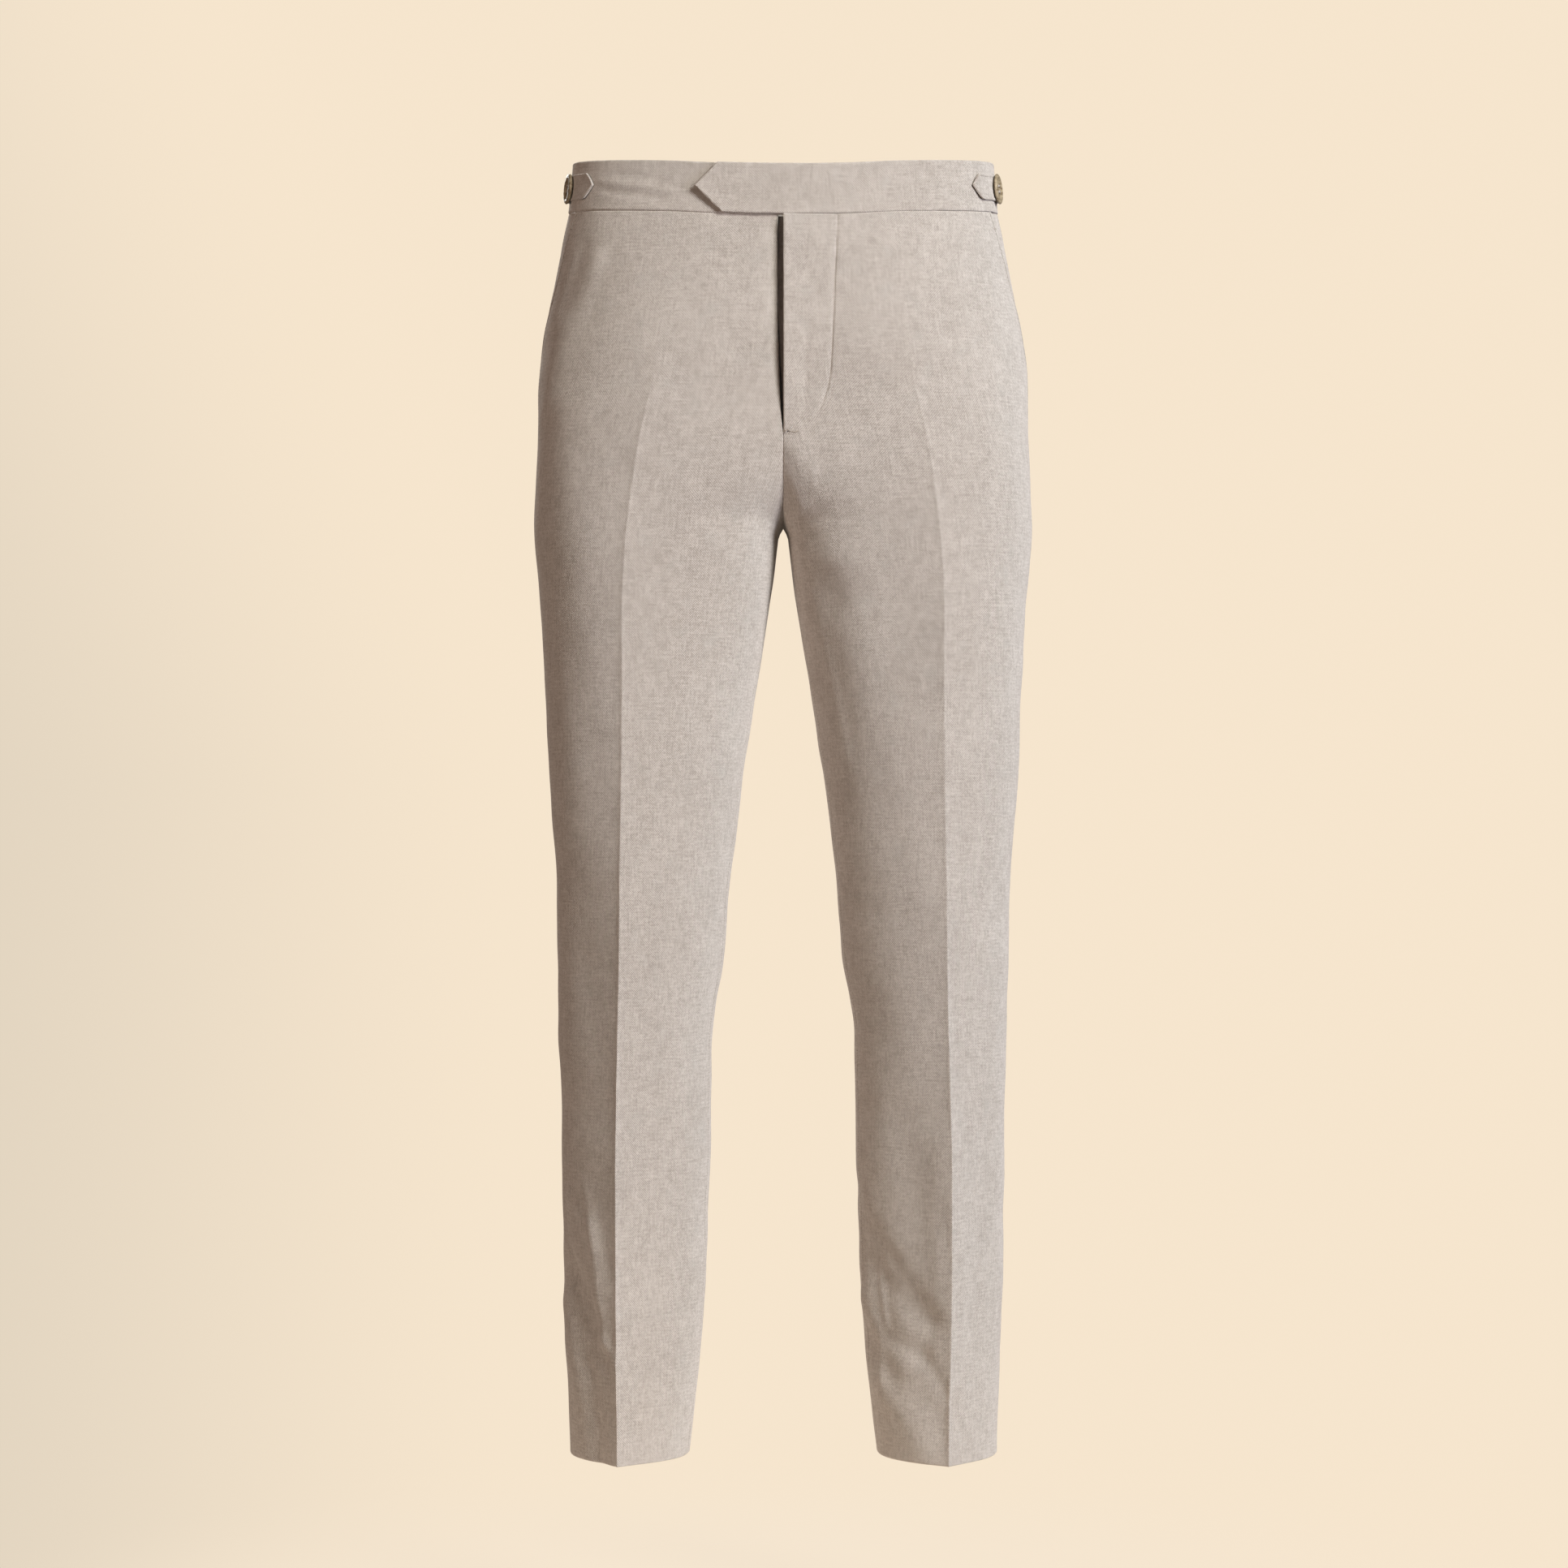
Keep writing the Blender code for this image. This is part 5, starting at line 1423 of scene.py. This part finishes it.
class TrouserSettings(bpy.types.PropertyGroup):
    shape: bpy.props.PointerProperty(type=ShapeSettings, name="Shape", description="Folds and creases")
    cloth: bpy.props.PointerProperty(type=ClothSettings, name="Cloth", description="Yarns and weave")
    sewing: bpy.props.PointerProperty(type=SewingSettings, name="Sewing", description="Thread and stitches")
    buttons: bpy.props.PointerProperty(type=ButtonSettings, name="Buttons", description="Horn")
    stage: bpy.props.PointerProperty(type=StageSettings, name="Stage", description="Ground, floor and lights")


HANDS = ((1, "left"), (-1, "right"))


def shared(name, make, *values):
    """A material by its name, made on first use."""
    return bpy.data.materials.get(name) or make(*values)


def suiting(settings):
    return shared("slubby hopsack", cloth_finish, "slubby hopsack", settings.cloth)


def painted_shade_facing_cloth(settings):
    return shared("dark facing cloth", cloth_finish, "dark facing cloth", settings.cloth, PAINTED_SLOT_SHADE)


def sewing_thread(settings):
    return shared("sewing thread", thread_finish, settings.sewing)


class TROUSERS_OT_fronts(bpy.types.Operator):
    """Cut and press the two fronts"""

    bl_idname = "trousers.fronts"
    bl_label = "Fronts"

    def execute(self, context):
        settings = context.scene.trousers
        for side, hand in HANDS:
            piece = front_panel(side, suiting(settings), settings.shape)
            declare(piece, f"front_{hand}")
        return {"FINISHED"}


class TROUSERS_OT_backs(bpy.types.Operator):
    """Cut and press the two backs, with a dart in each"""

    bl_idname = "trousers.backs"
    bl_label = "Backs"

    def execute(self, context):
        settings = context.scene.trousers
        for side, hand in HANDS:
            piece = back_panel(side, suiting(settings), settings.shape)
            declare(piece, f"back_{hand}")
        return {"FINISHED"}


class TROUSERS_OT_facings(bpy.types.Operator):
    """Lay the pocket side pieces and the strip behind the fly"""

    bl_idname = "trousers.facings"
    bl_label = "Pocket and fly facings"

    def execute(self, context):
        settings = context.scene.trousers
        for side, hand in HANDS:
            declare(pocket_facing(side, suiting(settings)), f"pocket_facing_{hand}")
        # the strip behind the fly gets cloth darkened as painted shade, for the shadow in the fly's slot
        declare(underlap(painted_shade_facing_cloth(settings)), "fly_underlap")
        return {"FINISHED"}


class TROUSERS_OT_waistband(bpy.types.Operator):
    """Lay the two halves of the waistband, the left one with its pointed end"""

    bl_idname = "trousers.waistband"
    bl_label = "Waistband"

    def execute(self, context):
        settings = context.scene.trousers
        for side, hand in HANDS:
            piece = waistband(side, suiting(settings), settings.shape)
            declare(piece, f"waistband_{hand}")
        return {"FINISHED"}


class TROUSERS_OT_side_tabs(bpy.types.Operator):
    """Lay the side adjusters on the waistband"""

    bl_idname = "trousers.side_tabs"
    bl_label = "Side adjusters"

    def execute(self, context):
        settings = context.scene.trousers
        for side, hand in HANDS:
            declare(side_tab(side, suiting(settings), settings.sewing), f"side_tab_{hand}")
        return {"FINISHED"}


class TROUSERS_OT_buttons(bpy.types.Operator):
    """Turn and sew on the horn buttons"""

    bl_idname = "trousers.buttons"
    bl_label = "Buttons"

    def execute(self, context):
        settings = context.scene.trousers
        horn = shared("polished horn", horn_finish, settings.buttons)
        for side, hand in HANDS:
            piece = button(side, horn)
            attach(piece, "root")
            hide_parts(f"tab_button_{hand}")
            thread = button_thread(side, sewing_thread(settings))
            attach(thread, "root")
        return {"FINISHED"}


class TROUSERS_OT_stitching(bpy.types.Operator):
    """Sew the fly, the pocket mouths and the side adjusters"""

    bl_idname = "trousers.stitching"
    bl_label = "Stitching"

    def execute(self, context):
        settings = context.scene.trousers
        sewing, thread, tree = settings.sewing, sewing_thread(settings), stitch_tree()
        row = (thread, sewing.pitch, sewing.length, sewing.width, sewing.width * 0.8)
        bar = (thread, sewing.width * 1.1, sewing.width * 1.1, 0.0016, sewing.width)
        lift = 0.00008
        cloth = {name: bpy.data.objects[f"cloth_{name}"] for name in LAYOUT}
        heights = np.linspace(0.8200, SIDE_SEAM_TOP + float(waist_rise(0.4)) - 0.001, 120)
        line = np.interp(heights, *(np.array(CURVED_STITCH_ROWS)[:, (0, 1)].T))
        path = on_cloth(cloth["front_left"], front_points(1, heights, line), lift)
        stitched("fly_stitching", [path], tree, *row)
        across = np.linspace(0.0012, 0.0118, 12)
        path = on_cloth(cloth["front_left"], front_points(1, 0.8188 + across * 0.16, across), lift)
        stitched("fly_bartack", [path], tree, *bar)
        rise = SIDE_SEAM_TOP - CROTCH_HEIGHT
        for side, hand in HANDS:
            front, tab = cloth[f"front_{hand}"], cloth[f"side_tab_{hand}"]
            levels = (np.linspace(POCKET_BOTTOM + 0.004, SIDE_SEAM_TOP - 0.003, 90) - CROTCH_HEIGHT) / rise
            path = on_cloth(front, mouth_points(side, levels, 0.0036), lift)
            stitched(f"pocket_stitching_{hand}", [path], tree, *row)
            tacks = []
            for height in (SIDE_SEAM_TOP - 0.014, POCKET_BOTTOM + 0.004):
                level = (height - CROTCH_HEIGHT) / rise
                points = [mouth_points(side, (level,), inset)[0] for inset in np.linspace(0.0006, 0.0046, 6)]
                tacks.append(on_cloth(front, points, lift))
            stitched(f"pocket_bartacks_{hand}", tacks, tree, *bar)
            inset = sewing.edge_inset
            low, high = inset / TAB_HEIGHT, 1 - inset / TAB_HEIGHT
            outline = [(TAB_BACK - inset, low), (TAB_TIP + TAB_TIP_REACH, low), (TAB_TIP + inset, low)]
            outline += [(TAB_TIP + inset, TAB_TIP_SHARE), (TAB_TIP + inset, high)]
            outline += [(TAB_TIP + TAB_TIP_REACH, high), (TAB_BACK - inset, high), outline[0]]
            points = []
            for (from_x, from_s), (to_x, to_s) in zip(outline, outline[1:]):
                for share in np.linspace(0, 1, 16)[:-1]:
                    x, s = from_x + (to_x - from_x) * share, from_s + (to_s - from_s) * share
                    face, normal, out, _, _ = tab_face(np.array(x), np.array(s), side)
                    points.append(face + normal * (float(out) + 0.0005))
            stitched(f"tab_stitching_{hand}", [on_cloth(tab, points, lift)], tree, *row)
        return {"FINISHED"}


class TROUSERS_OT_stage(bpy.types.Operator):
    """Set the floor, the ground, the lights and the camera"""

    bl_idname = "trousers.stage"
    bl_label = "Stage"

    def execute(self, context):
        scene, stage = context.scene, context.scene.trousers.stage
        mesh = bmesh.new()
        bmesh.ops.create_circle(mesh, cap_ends=True, radius=stage.floor_radius, segments=96)
        data = bpy.data.meshes.new("floor")
        mesh.to_mesh(data)
        mesh.free()
        data.materials.append(floor_finish(stage))
        floor = placed("floor", data)
        floor.location.z = stage.floor_drop

        middle = LIT_MIDDLE
        light("key light", (1.680, -2.312, 1.170), middle, stage.key, stage.key_size, stage.key_colour)
        light("side light", (2.443, -2.200, -0.192), middle, stage.side, stage.key_size, stage.side_colour)
        light("warm light", (-1.886, -2.693, -0.192), middle, stage.warm, stage.key_size, stage.warm_colour)
        light("back light", (-0.9, 2.9, 0.9), middle, stage.back, stage.key_size, stage.key_colour)

        world = bpy.data.worlds.new("studio")
        world.use_nodes = True
        scene.world = world
        tree = world.node_tree
        add = node_adder(tree)
        place = add("ShaderNodeTexCoord").outputs["Generated"]
        split = add("ShaderNodeSeparateXYZ", None, {0: place}).outputs
        upper = add("ShaderNodeMath", {"operation": "MAXIMUM"}, {0: split["Z"], 1: 0.0}).outputs[0]
        lit = add("ShaderNodeMath", {"operation": "MULTIPLY_ADD"}, {0: upper, 1: GROUND_SLANT, 2: split["X"]})
        span = {"Value": lit.outputs[0], "From Min": GROUND_EDGE[0], "From Max": GROUND_EDGE[1]}
        across = add("ShaderNodeMapRange", {"interpolation_type": "SMOOTHSTEP"}, span).outputs[0]
        tones = {0: across, 6: colour(stage.ground_dark), 7: colour(stage.ground_light)}
        blend = add("ShaderNodeMix", {"data_type": "RGBA"}, tones).outputs[2]
        seen = tree.nodes["Background"]
        tree.links.new(blend, seen.inputs["Color"])
        filling = add("ShaderNodeBackground", Color=colour(stage.fill_colour), Strength=stage.fill)
        shown = add("ShaderNodeLightPath").outputs["Is Camera Ray"]
        either = add("ShaderNodeMixShader", None, {0: shown, 1: filling.outputs[0], 2: seen.outputs[0]})
        tree.links.new(either.outputs[0], tree.nodes["World Output"].inputs["Surface"])

        view = bpy.data.cameras.new("camera")
        view.sensor_width = SENSOR
        view.lens = SENSOR * CAMERA_DISTANCE / (2 * CAMERA_REACH)
        camera = placed("camera", view)
        camera.location = (0.00066, -CAMERA_DISTANCE, -0.482)
        camera.rotation_euler = (math.pi / 2, 0.0, 0.0)
        scene.camera = camera
        scene.view_settings.view_transform = "Standard"
        return {"FINISHED"}


STEPS = (
    TROUSERS_OT_fronts, TROUSERS_OT_backs, TROUSERS_OT_facings, TROUSERS_OT_waistband,
    TROUSERS_OT_side_tabs, TROUSERS_OT_buttons, TROUSERS_OT_stitching, TROUSERS_OT_stage,
)


class TROUSERS_PT_panel(bpy.types.Panel):
    """Sizes, colours and steps of the trousers"""

    bl_idname = "TROUSERS_PT_panel"
    bl_label = "Suit trousers"
    bl_space_type = "VIEW_3D"
    bl_region_type = "UI"
    bl_category = "Trousers"

    def draw(self, context):
        settings = context.scene.trousers
        for group in ("shape", "cloth", "sewing", "buttons", "stage"):
            box = self.layout.box()
            values = getattr(settings, group)
            box.label(text=group.capitalize())
            for name in values.__annotations__:
                box.prop(values, name)
        for step in STEPS:
            self.layout.operator(step.bl_idname)


CLASSES = (
    ShapeSettings, ClothSettings, SewingSettings, ButtonSettings, StageSettings, TrouserSettings,
    *STEPS, TROUSERS_PT_panel,
)


def register():
    for kind in CLASSES:
        bpy.utils.register_class(kind)
    bpy.types.Scene.trousers = bpy.props.PointerProperty(
        type=TrouserSettings, name="Trousers", description="Sizes and colours"
    )


def unregister():
    del bpy.types.Scene.trousers
    for kind in reversed(CLASSES):
        bpy.utils.unregister_class(kind)


def main():
    register()
    bpy.ops.trousers.fronts()
    bpy.ops.trousers.backs()
    bpy.ops.trousers.facings()
    bpy.ops.trousers.waistband()
    bpy.ops.trousers.side_tabs()
    bpy.ops.trousers.buttons()
    bpy.ops.trousers.stitching()
    bpy.ops.trousers.stage()


if __name__ == "__main__":
    main()
